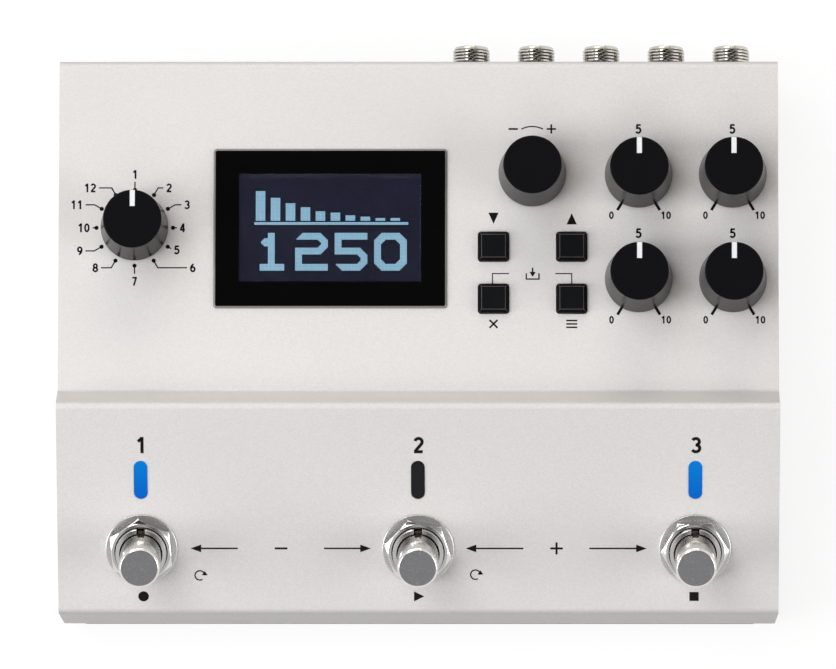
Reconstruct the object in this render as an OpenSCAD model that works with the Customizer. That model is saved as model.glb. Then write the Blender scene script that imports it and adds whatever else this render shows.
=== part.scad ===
// Digital delay pedal: a folded metal case with a flat control panel, a raised sloping
// footswitch panel, rear sockets and three circuit boards. Millimetres, +Z up, +Y to the rear,
// origin on the floor under the middle of the whole pedal.

/* [Case] */
// Width of the case, side to side
case_w = 170; // [168:1:182]
// Depth of the case, front wall to rear wall
case_d = 130.3; // [128:0.1:140]
// Thickness of the case walls
case_wall = 2; // [1.5:0.1:2.5]
// Height of the flat upper panel above the rim
deck_h = 41.5; // [40:0.5:46]
// Height of the ridge above the upper panel
step_h = 9.5; // [7:0.5:11]
// Run of the short face that climbs from the upper panel to the ridge
step_run = 4.2; // [3:0.1:6]
// Run of the sloping footswitch panel, ridge to front edge
slope_run = 47.3; // [45:0.1:49]
// Height of the front wall above the rim
front_h = 29.8; // [28:0.2:33]
// How far the front wall leans in from its top edge to the rim
front_under = 0.6; // [0:0.1:1.5]
// Bend radius of the rear top edge
rear_r = 2; // [1:0.1:3]
// Bend radius of the ridge
ridge_r = 1.5; // [0.5:0.1:2]
// Bend radius of the front top edge
front_r = 2; // [1:0.1:4]
// Bend radius in the crease between the upper panel and the step
crease_r = 1; // [0.5:0.1:2]

/* [Bottom] */
// Thickness of the bottom cover
cover_t = 2; // [1.2:0.1:2.5]
// Inset of the bottom cover from the case sides
cover_side = 3.5; // [2:0.5:5]
// Lap of the bottom cover under the ledges along the case sides
ledge_lap = 2.5; // [2:0.1:3]
// Inset of the bottom cover from the front and rear walls
cover_end = 0.1; // [0:0.1:1]
// Corner radius of the bottom cover
cover_r = 2; // [1:0.5:4]
// Height of a rubber foot
foot_h = 3; // [2.5:0.5:6]
// Diameter of a rubber foot where it meets the cover
foot_d = 14; // [10:1:18]
// How much narrower a foot is where it stands
foot_taper = 1.2; // [0.6:0.2:2]
// Distance of a foot's centre from the side of the case
foot_side = 17; // [15:1:24]
// Distance of the front feet from the front wall
foot_front = 21; // [18:1:30]
// Distance of the rear feet from the rear wall
foot_rear = 15; // [12:1:24]
// Shank diameter of a cover screw
cover_screw_d = 3; // [2.5:0.5:3.5]
// Height of a cover screw's head
cover_head_h = 1.4; // [1:0.1:2]
// Width of the cross slot in a cover screw's head
cover_slot = 1; // [0.8:0.1:1.2]
// Outside diameter of a screw boss in the case
boss_d = 7; // [6:0.5:8]
// Height of a screw boss above the rim
boss_h = 11; // [8:1:12]
// Distance of the side bosses from the case side
boss_side = 9; // [8:0.5:10]
// Distance of the front bosses from the front wall
boss_front = 7; // [6.5:0.5:9]
// Thickness of the rib that ties a boss to the wall
boss_rib = 2.4; // [2:0.1:3]

/* [Display] */
// Width of the display window
lens_w = 55.2; // [52:0.2:57]
// Depth of the display window
lens_d = 38; // [36:0.5:40]
// Height of the display window above the upper panel
lens_h = 0.7; // [0.5:0.1:1.2]
// Chamfer on the window's top edge
lens_chamfer = 0.45; // [0.2:0.05:0.5]
// Lap of the window over the edge of its cut-out
lens_lap = 2.4; // [1.5:0.1:3]
// Corner radius of the window
lens_r = 0.8; // [0.4:0.1:1.5]
// Distance of the window's centre from the left side
lens_side = 64.2; // [62:0.2:66]
// Distance of the window's rear edge from the rear wall
lens_rear = 21.2; // [20:0.2:23]
// Width of the glass of the display
glass_w = 46.6; // [44:0.2:48]
// Depth of the glass of the display
glass_d = 29.6; // [28:0.2:31]
// Thickness of the glass of the display
glass_t = 2.8; // [2:0.1:3.5]
// Gap between the window and the glass
glass_drop = 0.4; // [0.3:0.1:0.8]
// Wall of the metal frame around the glass
frame_wall = 2.4; // [1.5:0.1:2.5]

/* [Knobs] */
// Diameter of a knob at its foot
knob_foot_d = 16; // [14:0.1:17]
// Diameter of a knob at its top
knob_top_d = 13.7; // [12.5:0.1:14]
// Height of a knob
knob_h = 13.9; // [13:0.1:15]
// Gap under a knob
knob_gap = 1.6; // [1:0.1:2.5]
// Radius of a knob's top edge
knob_edge_r = 0.4; // [0.2:0.1:0.8]
// Thickness of a knob's skirt
knob_wall = 1.5; // [1.2:0.1:1.8]
// Thickness of a knob's top over its hollow
knob_top_t = 1.8; // [1.4:0.1:2.4]
// Diameter of the hub inside a knob
hub_d = 9; // [8.4:0.1:9.5]
// Width of the pointer groove
pointer_w = 1.25; // [1:0.05:1.6]
// Length of the pointer groove
pointer_l = 3.9; // [3:0.1:5]
// Depth of the pointer groove
pointer_t = 0.25; // [0.2:0.05:0.4]
// Diameter of a control shaft
shaft_d = 6; // [5:0.1:6.4]
// Depth of the flat on a shaft's upper end
shaft_flat = 1.5; // [1:0.1:2]
// Length of shaft inside a knob
shaft_grip = 10.5; // [9:0.5:11]
// Distance of the right knob column from the right side
knob_side = 10.8; // [10:0.1:12]
// Distance between the two right knob columns
knob_pitch_x = 22.2; // [21:0.1:23.5]
// Distance between the two right knob rows
knob_pitch_y = 24.9; // [23:0.1:27]
// Distance of the rear knob row from the rear wall
knob_rear = 27.45; // [25:0.05:28]
// Distance from the value knob to the feedback knob
value_pitch = 25.1; // [24:0.1:26]
// Distance of the value knob from the rear wall
value_rear = 27.15; // [25:0.05:28]
// Distance of the mode knob from the left side
mode_side = 18; // [17:0.1:20]
// Distance of the mode knob from the rear wall
mode_rear = 40; // [38:0.1:42]
// Width of a potentiometer body
pot_w = 9.6; // [9:0.1:10]
// Depth of a potentiometer body
pot_d = 11; // [10:0.1:12]
// Width of the encoder body
encoder_w = 12.4; // [12:0.1:13]
// Depth of the encoder body
encoder_d = 13; // [12:0.1:14]
// Diameter of the rotary mode switch
rotary_d = 17; // [15:0.5:18]
// Height of a control body on its board
control_h = 6.6; // [6:0.1:7]

/* [Buttons] */
// Width of a button
key_w = 7; // [6.4:0.1:7.4]
// Depth of a button
key_d = 6.8; // [6.2:0.1:7.2]
// Height of a button above the upper panel
key_h = 1.8; // [1.2:0.1:2.5]
// Chamfer on a button's top edge
key_chamfer = 0.7; // [0.3:0.1:0.9]
// Corner radius of a button
key_r = 0.6; // [0.4:0.1:1.2]
// Travel of a button
key_travel = 0.5; // [0.3:0.1:0.6]
// Width of the flange that keeps a button under the panel
key_flange = 1; // [0.6:0.1:1.2]
// Thickness of that flange
key_flange_t = 1; // [0.8:0.1:1.2]
// Distance of the right button column from the right side
key_side = 48.8; // [48:0.1:50]
// Distance between the button columns
key_pitch_x = 18.45; // [17.5:0.05:19]
// Distance between the button rows
key_pitch_y = 12.4; // [11.5:0.1:13]
// Distance of the rear button row from the rear wall
key_rear = 44.5; // [44:0.1:46]
// Width of a push switch under a button
tact_w = 6.2; // [6:0.1:6.6]
// Diameter of the stem that presses the push switch
tact_stem_d = 3.4; // [3:0.1:3.6]

/* [Footswitches] */
// Distance from the middle footswitch to an outer one
switch_pitch = 65.2; // [62:0.2:66]
// Distance of the footswitches down the slope from the ridge
switch_down = 35.7; // [34.5:0.1:36]
// Outside diameter of a footswitch bushing
bushing_d = 12; // [11:0.1:12.4]
// Height of a bushing above the slope
bushing_h = 4.6; // [4:0.1:5.5]
// Bore of a bushing
bushing_bore = 10.2; // [10:0.1:10.5]
// Width of the keyway in a bushing
keyway_w = 2; // [1.5:0.1:2.4]
// Diameter of a footswitch washer
washer_d = 17; // [16.6:0.1:18]
// Thickness of a footswitch washer
washer_t = 0.8; // [0.5:0.1:1]
// Size across the flats of a footswitch nut
nut_af = 14; // [13.6:0.1:14.4]
// Thickness of a footswitch nut
nut_t = 2.5; // [2:0.1:2.8]
// Diameter of a footswitch plunger
plunger_d = 9.7; // [9:0.1:9.8]
// Height of a plunger's top above the slope
plunger_h = 15.3; // [13:0.1:17]
// Chamfer on a plunger's top edge
plunger_chamfer = 0.5; // [0.3:0.1:0.8]
// Travel of a footswitch
plunger_travel = 2; // [1:0.1:2.5]
// Width of a footswitch body
switch_w = 16; // [15:0.5:16]
// Depth of a footswitch body below the panel
switch_h = 18; // [17:0.5:20]
// Thickness of the bushing's shoulder below the panel
shoulder_t = 3; // [2:0.5:4]
// Thickness of the floor of a footswitch body
switch_floor = 2.5; // [2:0.5:3]
// Diameter of a plunger's stem inside the spring
stem_d = 4.4; // [4:0.1:5]
// Thickness of a plunger's stop flange
flange_t = 1.3; // [1:0.1:1.6]
// Lap of the stop flange behind the bushing's shoulder
flange_lap = 0.4; // [0.3:0.1:0.5]
// Length of a solder lug
lug_l = 4; // [3:0.5:5]
// Width of a solder lug
lug_w = 2.4; // [2:0.1:3]
// Thickness of a solder lug
lug_t = 0.8; // [0.6:0.1:1]
// Distance between solder lugs
lug_pitch = 4.7; // [4.4:0.1:5]
// Wire of a return spring
spring_wire = 0.8; // [0.6:0.1:1]
// Mean diameter of a return spring
spring_d = 7.6; // [7:0.1:8]
// Turns of a return spring
spring_turns = 5; // [4:1:6]

/* [Indicators] */
// Width of an indicator lens
lamp_w = 2.8; // [2.6:0.1:3.6]
// Length of an indicator lens
lamp_l = 9; // [8:0.1:10]
// Height of an indicator lens above the slope
lamp_h = 0.3; // [0.2:0.1:0.6]
// Distance of the indicators down the slope from the ridge
lamp_down = 18.8; // [18:0.1:20]
// Width of the flange behind an indicator lens
lamp_flange = 1; // [0.8:0.1:1.4]
// Length of an indicator lens behind the panel
lamp_tail = 2; // [1.5:0.1:2.5]
// Width of a light chip
chip_w = 2.8; // [2:0.1:3]
// Depth of a light chip
chip_d = 1.8; // [1.4:0.1:2]
// Height of a light chip
chip_h = 1.4; // [1:0.1:2]

/* [Rear sockets] */
// Reach of the jack bushings behind the rear wall
jack_reach = 7.7; // [6:0.1:10]
// Outside diameter of a jack bushing
jack_d = 8.9; // [8.5:0.1:9.2]
// Plug bore of a jack
jack_bore = 6.5; // [6.45:0.05:6.6]
// Depth of the plug bore from the bushing's end
jack_bore_l = 33; // [31:1:34]
// Width of a jack body
jack_w = 13.5; // [12:0.5:14]
// Length of a jack body inside the case
jack_l = 28; // [27:0.5:30]
// Height of a jack body above its axis
jack_top = 6.4; // [6:0.1:7]
// Height of the jack axis above the main board
jack_axis_h = 7.4; // [7:0.1:8]
// Chamfer on the ends of the bushings and of the power button
end_chamfer = 0.5; // [0.3:0.1:0.8]
// Distance between neighbouring jacks
jack_pitch = 15.55; // [15.2:0.05:15.6]
// Distance of the last jack from the right side
jack_side = 10.4; // [10:0.1:11.5]
// Thickness of a jack nut
jack_nut_t = 2.2; // [1.5:0.1:2.5]
// Size across the flats of a jack nut
jack_nut_af = 12; // [11.5:0.1:12.5]
// Width of a round data socket
midi_w = 20; // [19:0.5:20.5]
// Length of a round data socket's body
midi_l = 12; // [11:0.5:14]
// Diameter of the shell opening of a round data socket
midi_open_d = 14; // [13.6:0.1:14.2]
// Wall of the collar round a data socket's opening
midi_collar = 0.9; // [0.7:0.1:1.2]
// Width of the ring slot inside a data socket
midi_slot = 1.4; // [1.2:0.1:1.8]
// Depth of the ring slot inside a data socket
midi_slot_l = 9; // [8:0.5:10]
// Radius of the circle that the pin holes lie on
pin_r = 3.75; // [3.6:0.05:3.9]
// Diameter of a pin hole
pin_d = 1.4; // [1.2:0.1:1.6]
// Distance of the first round data socket from the left side
midi_side = 54.5; // [54:0.5:56]
// Distance between the two round data sockets
midi_pitch = 23; // [22.5:0.5:24]
// Width of the computer port's shell
usb_w = 12; // [11.5:0.1:12.4]
// Height of the computer port's shell
usb_h = 10.8; // [10.4:0.1:11.2]
// Length of the computer port's shell
usb_l = 16; // [14:0.5:17]
// Distance of the computer port from the left side
usb_side = 35.5; // [35:0.5:36]
// Wall of the computer port's shell
usb_wall = 1.6; // [1.4:0.1:1.8]
// Gap round the tongue in the computer port
usb_gap = 1.8; // [1.5:0.1:2.2]
// Depth of the computer port's mouth
usb_mouth = 9; // [8:0.5:10]
// Width of the power inlet
dc_w = 10; // [9:0.5:10.5]
// Height of the power inlet
dc_h = 11; // [10.5:0.5:12]
// Length of the power inlet's body
dc_l = 14; // [12:0.5:15]
// Bore of the power inlet
dc_bore = 5.8; // [5.6:0.1:6.2]
// Distance of the power inlet from the left side
dc_side = 10; // [9.5:0.5:11]
// Wall of the power inlet's nose
dc_wall = 1.4; // [1:0.1:1.8]
// Depth of the power inlet's bore
dc_bore_l = 9.5; // [8:0.5:10]
// Diameter of the pin in the power inlet
dc_pin_d = 2; // [1.8:0.1:2.5]
// Diameter of the power button
power_d = 6.6; // [6:0.1:7]
// Reach of the power button behind the rear wall
power_reach = 4; // [3.5:0.1:5]
// Travel of the power button
power_travel = 2.5; // [1.5:0.1:3]
// Distance of the power button from the left side
power_side = 22.5; // [22:0.5:23]
// Wall of the power switch round its stem
power_wall = 2.3; // [2:0.1:2.6]
// Length of the power button's stem in its switch
power_stem_l = 6; // [5:0.5:7]

/* [Boards] */
// Thickness of a circuit board
board_t = 1.6; // [1:0.1:2]
// Height of the spacers under the main board
spacer_h = 4; // [3:0.5:5]
// Depth of the panel board below the upper panel
panel_gap = 7.5; // [7.3:0.1:8]
// Depth of the indicator board below the slope
lamp_gap = 5; // [4.5:0.1:6]
// Outside diameter of a board post or spacer
post_d = 5.6; // [5:0.2:6]
// Shank diameter of a board screw
board_screw_d = 2.5; // [2:0.1:2.6]
// Length of screw in a post
screw_reach = 4; // [3:0.5:5]
// Depth of the indicator board
lamp_board_d = 12.4; // [11.5:0.1:13]
// Length of the indicator board past the outer indicators
lamp_board_end = 7; // [5:0.5:8]
// Width of the signal processor
processor_w = 20; // [16:1:24]
// Width of a memory chip
memory_w = 10; // [8:1:12]
// Depth of a memory chip
memory_d = 12; // [10:1:13]
// Diameter of a capacitor
capacitor_d = 6.3; // [5:0.1:6.5]
// Height of a capacitor
capacitor_h = 8; // [6:0.5:10]
// Width of an amplifier chip
amplifier_w = 5; // [4:0.5:6]
// Depth of an amplifier chip
amplifier_d = 4; // [3:0.5:5]
// Distance between neighbouring capacitors
capacitor_pitch = 8; // [7.5:0.1:8.5]
// Width of the flat cable
ribbon_w = 20; // [16:1:22]
// Thickness of the flat cable
ribbon_t = 0.9; // [0.7:0.1:1.2]
// Height of a cable header
header_h = 4; // [3:0.5:5]
// Depth of a cable header
header_d = 5; // [4:0.5:6]

/* [Fits] */
// Gap around a running shaft or stem
run_gap = 0.07; // [0.03:0.01:0.09]
// Gap between pieces that are pushed or screwed together
seat_gap = 0.05; // [0.03:0.01:0.1]
// Gap around a piece in a cut-out of the case
cut_gap = 0.2; // [0.15:0.05:0.3]
// Gap around a shaft where it passes through the case
pass_gap = 0.7; // [0.5:0.1:1]
// Gap between a moving stop and what it rests against
rest_gap = 0.3; // [0.2:0.05:0.4]
// Gap left at the end of a piece that moves or stands in a hole
end_gap = 0.5; // [0.4:0.1:0.8]
// Least gap between neighbouring inner pieces
clear_gap = 1; // [0.8:0.1:2]

/* [Hidden] */
$fn = 48;
over = 1;              // how far a cutter runs past a face
fall = 0.5;            // outward reach of a bend cutter past the sharp corner
bend_lap = 0.002;      // lap that lets a bend cross the flats beside it at a clear angle
seam_turn = 13;        // keeps the seam of a turned face off the corners of a hexagon
spread = case_w / 170; // stretch of the side to side places, which are given for a case 170 wide

// Heights and depths of the case's main lines
front_y = -(case_d + jack_reach) / 2;
rear_y = front_y + case_d;
rear_in = rear_y - case_wall;
rim_y = front_y + front_under;
rim_mid_y = (rim_y + rear_y) / 2;
rim_z = foot_h + cover_t;
deck_z = rim_z + deck_h;
deck_in = deck_z - case_wall;
ridge_y = front_y + slope_run;
ridge_z = deck_z + step_h;
crease_y = ridge_y + step_run;
front_top_z = rim_z + front_h;
slope_deg = atan((ridge_z - front_top_z) / slope_run);

// Places of the controls on the upper panel
level_xy = [case_w / 2 - spread * knob_side, rear_y - knob_rear];
feedback_xy = level_xy - [spread * knob_pitch_x, 0];
depth_xy = level_xy - [0, knob_pitch_y];
tone_xy = feedback_xy - [0, knob_pitch_y];
value_xy = [feedback_xy.x - spread * value_pitch, rear_y - value_rear];
mode_xy = [-case_w / 2 + spread * mode_side, rear_y - mode_rear];
pot_xy = [feedback_xy, level_xy, tone_xy, depth_xy];
control_xy = concat(pot_xy, [value_xy, mode_xy]);
lens_xy = [-case_w / 2 + spread * lens_side, rear_y - lens_rear - lens_d / 2];
up_xy = [case_w / 2 - spread * key_side, rear_y - key_rear];
down_xy = up_xy - [spread * key_pitch_x, 0];
exit_xy = down_xy - [0, key_pitch_y];
edit_xy = up_xy - [0, key_pitch_y];
key_xy = [down_xy, up_xy, exit_xy, edit_xy];
switch_x = [for (k = [-1:1]) k * spread * switch_pitch];

// Boards and what stands on them
panel_top = deck_in - panel_gap;
main_z = rim_z + spacer_h;
main_top = main_z + board_t;
main_step_y = rear_in - jack_l - 3 * clear_gap;
main_front_y = ridge_y - boss_d - clear_gap;
main_half_w = case_w / 2 - boss_side - boss_d / 2 - clear_gap;
shaft_foot = panel_top + clear_gap;
hole_d = shaft_d + 2 * pass_gap;
panel_front_y = crease_y + 4 * clear_gap;
panel_rear_y = rear_in - 6 * clear_gap;
panel_half_w = case_w / 2 - case_wall - 3 * clear_gap;
post_in = post_d / 2 + 2 * clear_gap;
post_front_y = panel_front_y + post_in - clear_gap;
panel_posts = [[-panel_half_w + post_in, panel_rear_y - post_in], [-panel_half_w + post_in, post_front_y],
    [lens_xy.x, post_front_y], [lens_xy.x + lens_w / 2, panel_rear_y - post_in],
    [(tone_xy.x + depth_xy.x) / 2, (tone_xy.y + feedback_xy.y) / 2],
    [tone_xy.x - pot_w / 2 - post_d / 2 - clear_gap / 2, post_front_y]];
lamp_posts = [for (sx = [-1, 1], share = [0.34, 0.66]) [sx * share * switch_x[2], lamp_down]];
spacer_x = main_half_w - post_in;
spacer_y = [main_front_y + post_in, main_step_y - post_in + clear_gap];
spacers = concat([for (sx = [-1, 1], y = spacer_y) [sx * spacer_x, y]], [[0, spacer_y[0]]]);
memory_x = -memory_w;
capacitor_x = 0.4 * switch_x[2];
ribbon_x = (memory_x + memory_w / 2 + capacitor_x - capacitor_d / 2) / 2;
post_hole = board_screw_d + 2 * seat_gap;
board_hole = board_screw_d + 2 * cut_gap;
screw_head_d = 2 * board_screw_d;
screw_head_h = 0.6 * board_screw_d;

// Cover screws and their bosses
boss_ends = [rim_y + boss_front, main_step_y - boss_d + clear_gap];
boss_y = [boss_ends[0], (boss_ends[0] + boss_ends[1]) / 2, boss_ends[1]];
side_bosses = [for (sx = [-1, 1], y = boss_y) [sx * (case_w / 2 - boss_side), y]];
front_bosses = [for (sx = [-1, 1]) [sx * spread * switch_pitch / 2, rim_y + boss_front]];
bosses = concat(side_bosses, front_bosses);
cover_hole = cover_screw_d + 2 * cut_gap;
cover_head_d = 2 * cover_screw_d;

// Rear sockets
jack_z = main_top + jack_axis_h;
jack_x = [for (i = [0:4]) case_w / 2 - spread * (jack_side + i * jack_pitch)];
midi_z = main_top + midi_w / 2;
midi_x = [for (i = [0, 1]) -case_w / 2 + spread * (midi_side + i * midi_pitch)];
midi_collar_d = midi_open_d + 2 * midi_collar;
midi_core_d = midi_open_d - 2 * midi_slot;
usb_x = -case_w / 2 + spread * usb_side;
usb_z = main_top + usb_h / 2;
dc_x = -case_w / 2 + spread * dc_side;
dc_z = main_top + dc_h / 2;
dc_nose_d = dc_bore + 2 * dc_wall;
power_x = -case_w / 2 + spread * power_side;
power_stem_d = 0.76 * power_d;
power_w = power_stem_d + 2 * power_wall;
power_z = main_top + power_w / 2;
power_face_y = rear_in - power_travel + clear_gap;
power_body_y = power_face_y - power_travel - end_gap;

// Footswitch levels below the slope
shoulder = case_wall + shoulder_t;
flange_d = bushing_bore + 2 * flange_lap;
cavity_d = flange_d + 2 * rest_gap;
cavity_end = case_wall + switch_h - switch_floor;
flange_top = shoulder + rest_gap;
spring_top = flange_top + flange_t + seat_gap;
spring_end = cavity_end - seat_gap;
stem_end = cavity_end - plunger_travel - 2 * end_gap;

// Outline of the case from the side, as depth and height
function case_profile(bottom) = [
    [rim_y + front_under * (rim_z - bottom) / front_h, bottom],
    [front_y, front_top_z],
    [ridge_y, ridge_z],
    [crease_y, deck_z],
    [rear_y, deck_z],
    [rear_y, bottom]];

function unit(v) = v / norm(v);
function inward(a, b) = [unit(b - a).y, -unit(b - a).x];
function joined(m, n) = (m + n) / (1 + m * n);

// The outline moved inwards by one wall
function inset(p, t) = let (n = len(p)) [for (i = [0:n - 1])
    p[i] + t * joined(inward(p[(i + n - 1) % n], p[i]), inward(p[i], p[(i + 1) % n]))];

// The sliver between a sharp corner and its bend
module bend(a, p, b, r) {
    u = unit(a - p);
    v = unit(b - p);
    half = acos(u * v) / 2;
    centre = p + unit(u + v) * r / sin(half);
    run = r / tan(half);
    difference() {
        polygon([p - unit(u + v) * fall, p + u * run, centre, p + v * run]);
        translate(centre) circle(r + bend_lap);
    }
}

module case_outline() {
    p = case_profile(rim_z);
    difference() {
        union() {
            polygon(p);
            bend(p[2], p[3], p[4], crease_r);
        }
        bend(p[0], p[1], p[2], front_r);
        bend(p[1], p[2], p[3], ridge_r);
        bend(p[3], p[4], p[5], rear_r);
    }
}

// Extrudes a side view across the width
module across(w) {
    rotate([90, 0, 90]) linear_extrude(w, center = true) children();
}

// Puts a piece on the slope: z out of the panel, y up the slope
module on_slope(x, down) {
    translate([x, ridge_y - down * cos(slope_deg), ridge_z - down * sin(slope_deg)])
        rotate([slope_deg, 0, 0]) children();
}

// Puts a piece on the rear wall: z out of the wall
module on_rear(x, z, y = rear_y) {
    translate([x, y, z]) rotate([-90, 0, 0]) children();
}

module rounded_rect(w, d, r) {
    square([w - 2 * r, d], center = true);
    square([w, d - 2 * r], center = true);
    for (sx = [-1, 1], sy = [-1, 1])
        translate([sx * (w / 2 - r), sy * (d / 2 - r)]) circle(r);
}

module stadium(w, l) {
    square([w, l - w], center = true);
    for (s = [-1, 1]) translate([0, s * (l - w) / 2]) circle(d = w);
}

// The side view of a block with its two top edges cut off at 45 degrees
module cut_top(w, h, c) {
    polygon([[-w / 2, 0], [w / 2, 0], [w / 2, h - c], [w / 2 - c, h], [c - w / 2, h], [-w / 2, h - c]]);
}

module chamfered_plate(w, d, h, r, c) {
    intersection() {
        linear_extrude(h) rounded_rect(w, d, r);
        rotate([90, 0, 0]) linear_extrude(d + over, center = true) cut_top(w, h, c);
        rotate([90, 0, 90]) linear_extrude(w + over, center = true) cut_top(d, h, c);
    }
}

module hex_nut(af, t, bore, turn, chamfer) {
    corner = af / cos(30) / 2;
    rotate(turn) difference() {
        intersection() {
            cylinder(h = t, r = corner, $fn = 6);
            rotate(seam_turn) rotate_extrude() polygon([[0, 0], [corner + over, 0],
                [corner + over, t - chamfer - over / 2], [corner - 2 * chamfer, t], [0, t]]);
        }
        translate([0, 0, -over]) cylinder(h = t + 2 * over, d = bore);
    }
}

// Screw boss and the rib that ties it to the wall
module boss(xy, towards) {
    translate([xy.x, xy.y, rim_z]) cylinder(h = boss_h, d = boss_d);
    reach = towards.x != 0 ? boss_side : boss_front;
    rib_l = reach - case_wall / 2;
    translate([xy.x + towards.x * reach / 2, xy.y + towards.y * reach / 2, rim_z + boss_h / 2])
        cube([towards.x != 0 ? rib_l : boss_rib, towards.x != 0 ? boss_rib : rib_l, boss_h], center = true);
}

module case_bosses() {
    for (b = side_bosses) boss(b, [sign(b.x), 0]);
    for (b = front_bosses) boss(b, [0, -1]);
}

// Ledges folded in along the sides, which the bottom cover closes against
module side_ledges() {
    ledge = cover_side + ledge_lap - case_wall / 2;
    ledge_x = case_w / 2 - case_wall / 2 - ledge / 2;
    for (sx = [-1, 1])
        translate([sx * ledge_x, rim_mid_y, rim_z + case_wall / 2])
            cube([ledge, case_d - front_under - case_wall, case_wall], center = true);
}

module case_posts() {
    for (p = panel_posts)
        translate([p.x, p.y, panel_top]) cylinder(h = panel_gap + case_wall / 2, d = post_d);
    for (p = lamp_posts)
        on_slope(p.x, p.y) translate([0, 0, -case_wall - lamp_gap])
            cylinder(h = lamp_gap + case_wall / 2, d = post_d);
}

module screw_holes() {
    for (b = bosses)
        translate([b.x, b.y, rim_z - over])
            cylinder(h = boss_h - clear_gap + over, d = cover_screw_d + 2 * seat_gap);
    for (p = panel_posts)
        translate([p.x, p.y, panel_top - over]) cylinder(h = screw_reach + end_gap + over, d = post_hole);
    for (p = lamp_posts)
        on_slope(p.x, p.y) translate([0, 0, -case_wall - lamp_gap - over])
            cylinder(h = screw_reach + end_gap + over, d = post_hole);
}

module panel_cuts() {
    cut_h = case_wall + 2 * over;
    for (c = control_xy) translate([c.x, c.y, deck_in - over]) cylinder(h = cut_h, d = hole_d);
    translate([lens_xy.x, lens_xy.y, deck_in - over])
        linear_extrude(cut_h) square([lens_w - 2 * lens_lap, lens_d - 2 * lens_lap], center = true);
    for (k = key_xy) translate([k.x, k.y, deck_in - over])
        linear_extrude(cut_h) rounded_rect(key_w + 2 * cut_gap, key_d + 2 * cut_gap, key_r + cut_gap);
    for (x = switch_x) {
        on_slope(x, switch_down) translate([0, 0, -case_wall - over])
            cylinder(h = cut_h, d = bushing_d + 2 * cut_gap);
        on_slope(x, lamp_down) translate([0, 0, -case_wall - over])
            linear_extrude(cut_h) stadium(lamp_w + 2 * cut_gap, lamp_l + 2 * cut_gap);
    }
}

module rear_cuts() {
    cut_h = case_wall + 2 * over;
    for (x = jack_x) on_rear(x, jack_z, rear_in - over) cylinder(h = cut_h, d = jack_d + 2 * cut_gap);
    for (x = midi_x) on_rear(x, midi_z, rear_in - over) cylinder(h = cut_h, d = midi_collar_d + 2 * cut_gap);
    on_rear(usb_x, usb_z, rear_in - over)
        linear_extrude(cut_h) square([usb_w + 2 * cut_gap, usb_h + 2 * cut_gap], center = true);
    on_rear(dc_x, dc_z, rear_in - over) cylinder(h = cut_h, d = dc_nose_d + 2 * cut_gap);
    on_rear(power_x, power_z, rear_in - over) cylinder(h = cut_h, d = power_d + 2 * cut_gap);
}

// Folded metal case: flat upper panel, step, sloping front panel and closed sides
module top_case() {
    color([0.88, 0.87, 0.85]) difference() {
        union() {
            difference() {
                across(case_w) case_outline();
                across(case_w - 2 * case_wall)
                    polygon(inset(case_profile(rim_z - case_wall - over), case_wall));
            }
            side_ledges();
            case_bosses();
            case_posts();
        }
        screw_holes();
        panel_cuts();
        rear_cuts();
    }
}

// Flat steel plate that closes the case from below
module bottom_cover() {
    color([0.22, 0.22, 0.23]) difference() {
        translate([0, rim_mid_y, foot_h]) linear_extrude(cover_t)
            rounded_rect(case_w - 2 * cover_side, case_d - front_under - 2 * cover_end, cover_r);
        for (b = bosses)
            translate([b.x, b.y, foot_h - over]) cylinder(h = cover_t + 2 * over, d = cover_hole);
    }
}

module rubber_feet() {
    color([0.09, 0.09, 0.09])
        for (sx = [-1, 1], y = [front_y + foot_front, rear_y - foot_rear])
            translate([sx * (case_w / 2 - foot_side), y, 0])
                cylinder(h = foot_h, d1 = foot_d - foot_taper, d2 = foot_d);
}

module cover_screws() {
    color("silver") for (b = bosses) translate([b.x, b.y, foot_h]) {
        cylinder(h = cover_t + boss_h - 2 * clear_gap, d = cover_screw_d);
        translate([0, 0, -cover_head_h]) difference() {
            cylinder(h = cover_head_h, d1 = cover_head_d - cover_slot, d2 = cover_head_d);
            for (turn = [0, 90]) rotate(turn)
                cube([cover_head_d / 2, cover_slot, cover_head_h], center = true);
        }
    }
}

// Window stuck over its cut-out, with a plug that fills the panel's thickness
module display_window() {
    color([0.03, 0.03, 0.04]) translate([lens_xy.x, lens_xy.y, deck_z]) {
        chamfered_plate(lens_w, lens_d, lens_h, lens_r, lens_chamfer);
        plug = 2 * (lens_lap + cut_gap);
        translate([0, 0, -case_wall]) linear_extrude(case_wall + lens_h / 2)
            square([lens_w - plug, lens_d - plug], center = true);
    }
}

module display_glass() {
    color([0.13, 0.14, 0.24]) translate([lens_xy.x, lens_xy.y, deck_in - glass_drop - glass_t / 2])
        cube([glass_w, glass_d, glass_t], center = true);
}

// Pressed frame that holds the glass on the panel board
module display_frame() {
    frame_h = panel_gap - glass_drop;
    color("silver") translate([lens_xy.x, lens_xy.y, panel_top + frame_h / 2]) difference() {
        cube([glass_w + 2 * frame_wall, glass_d + 2 * frame_wall, frame_h], center = true);
        translate([0, 0, frame_h / 2 - glass_t / 2 + over / 2])
            cube([glass_w + 2 * seat_gap, glass_d + 2 * seat_gap, glass_t + over], center = true);
    }
}

module shaft_outline(d) {
    difference() {
        circle(d = d);
        translate([-d, d / 2 - shaft_flat]) square([2 * d, d]);
    }
}

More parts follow.
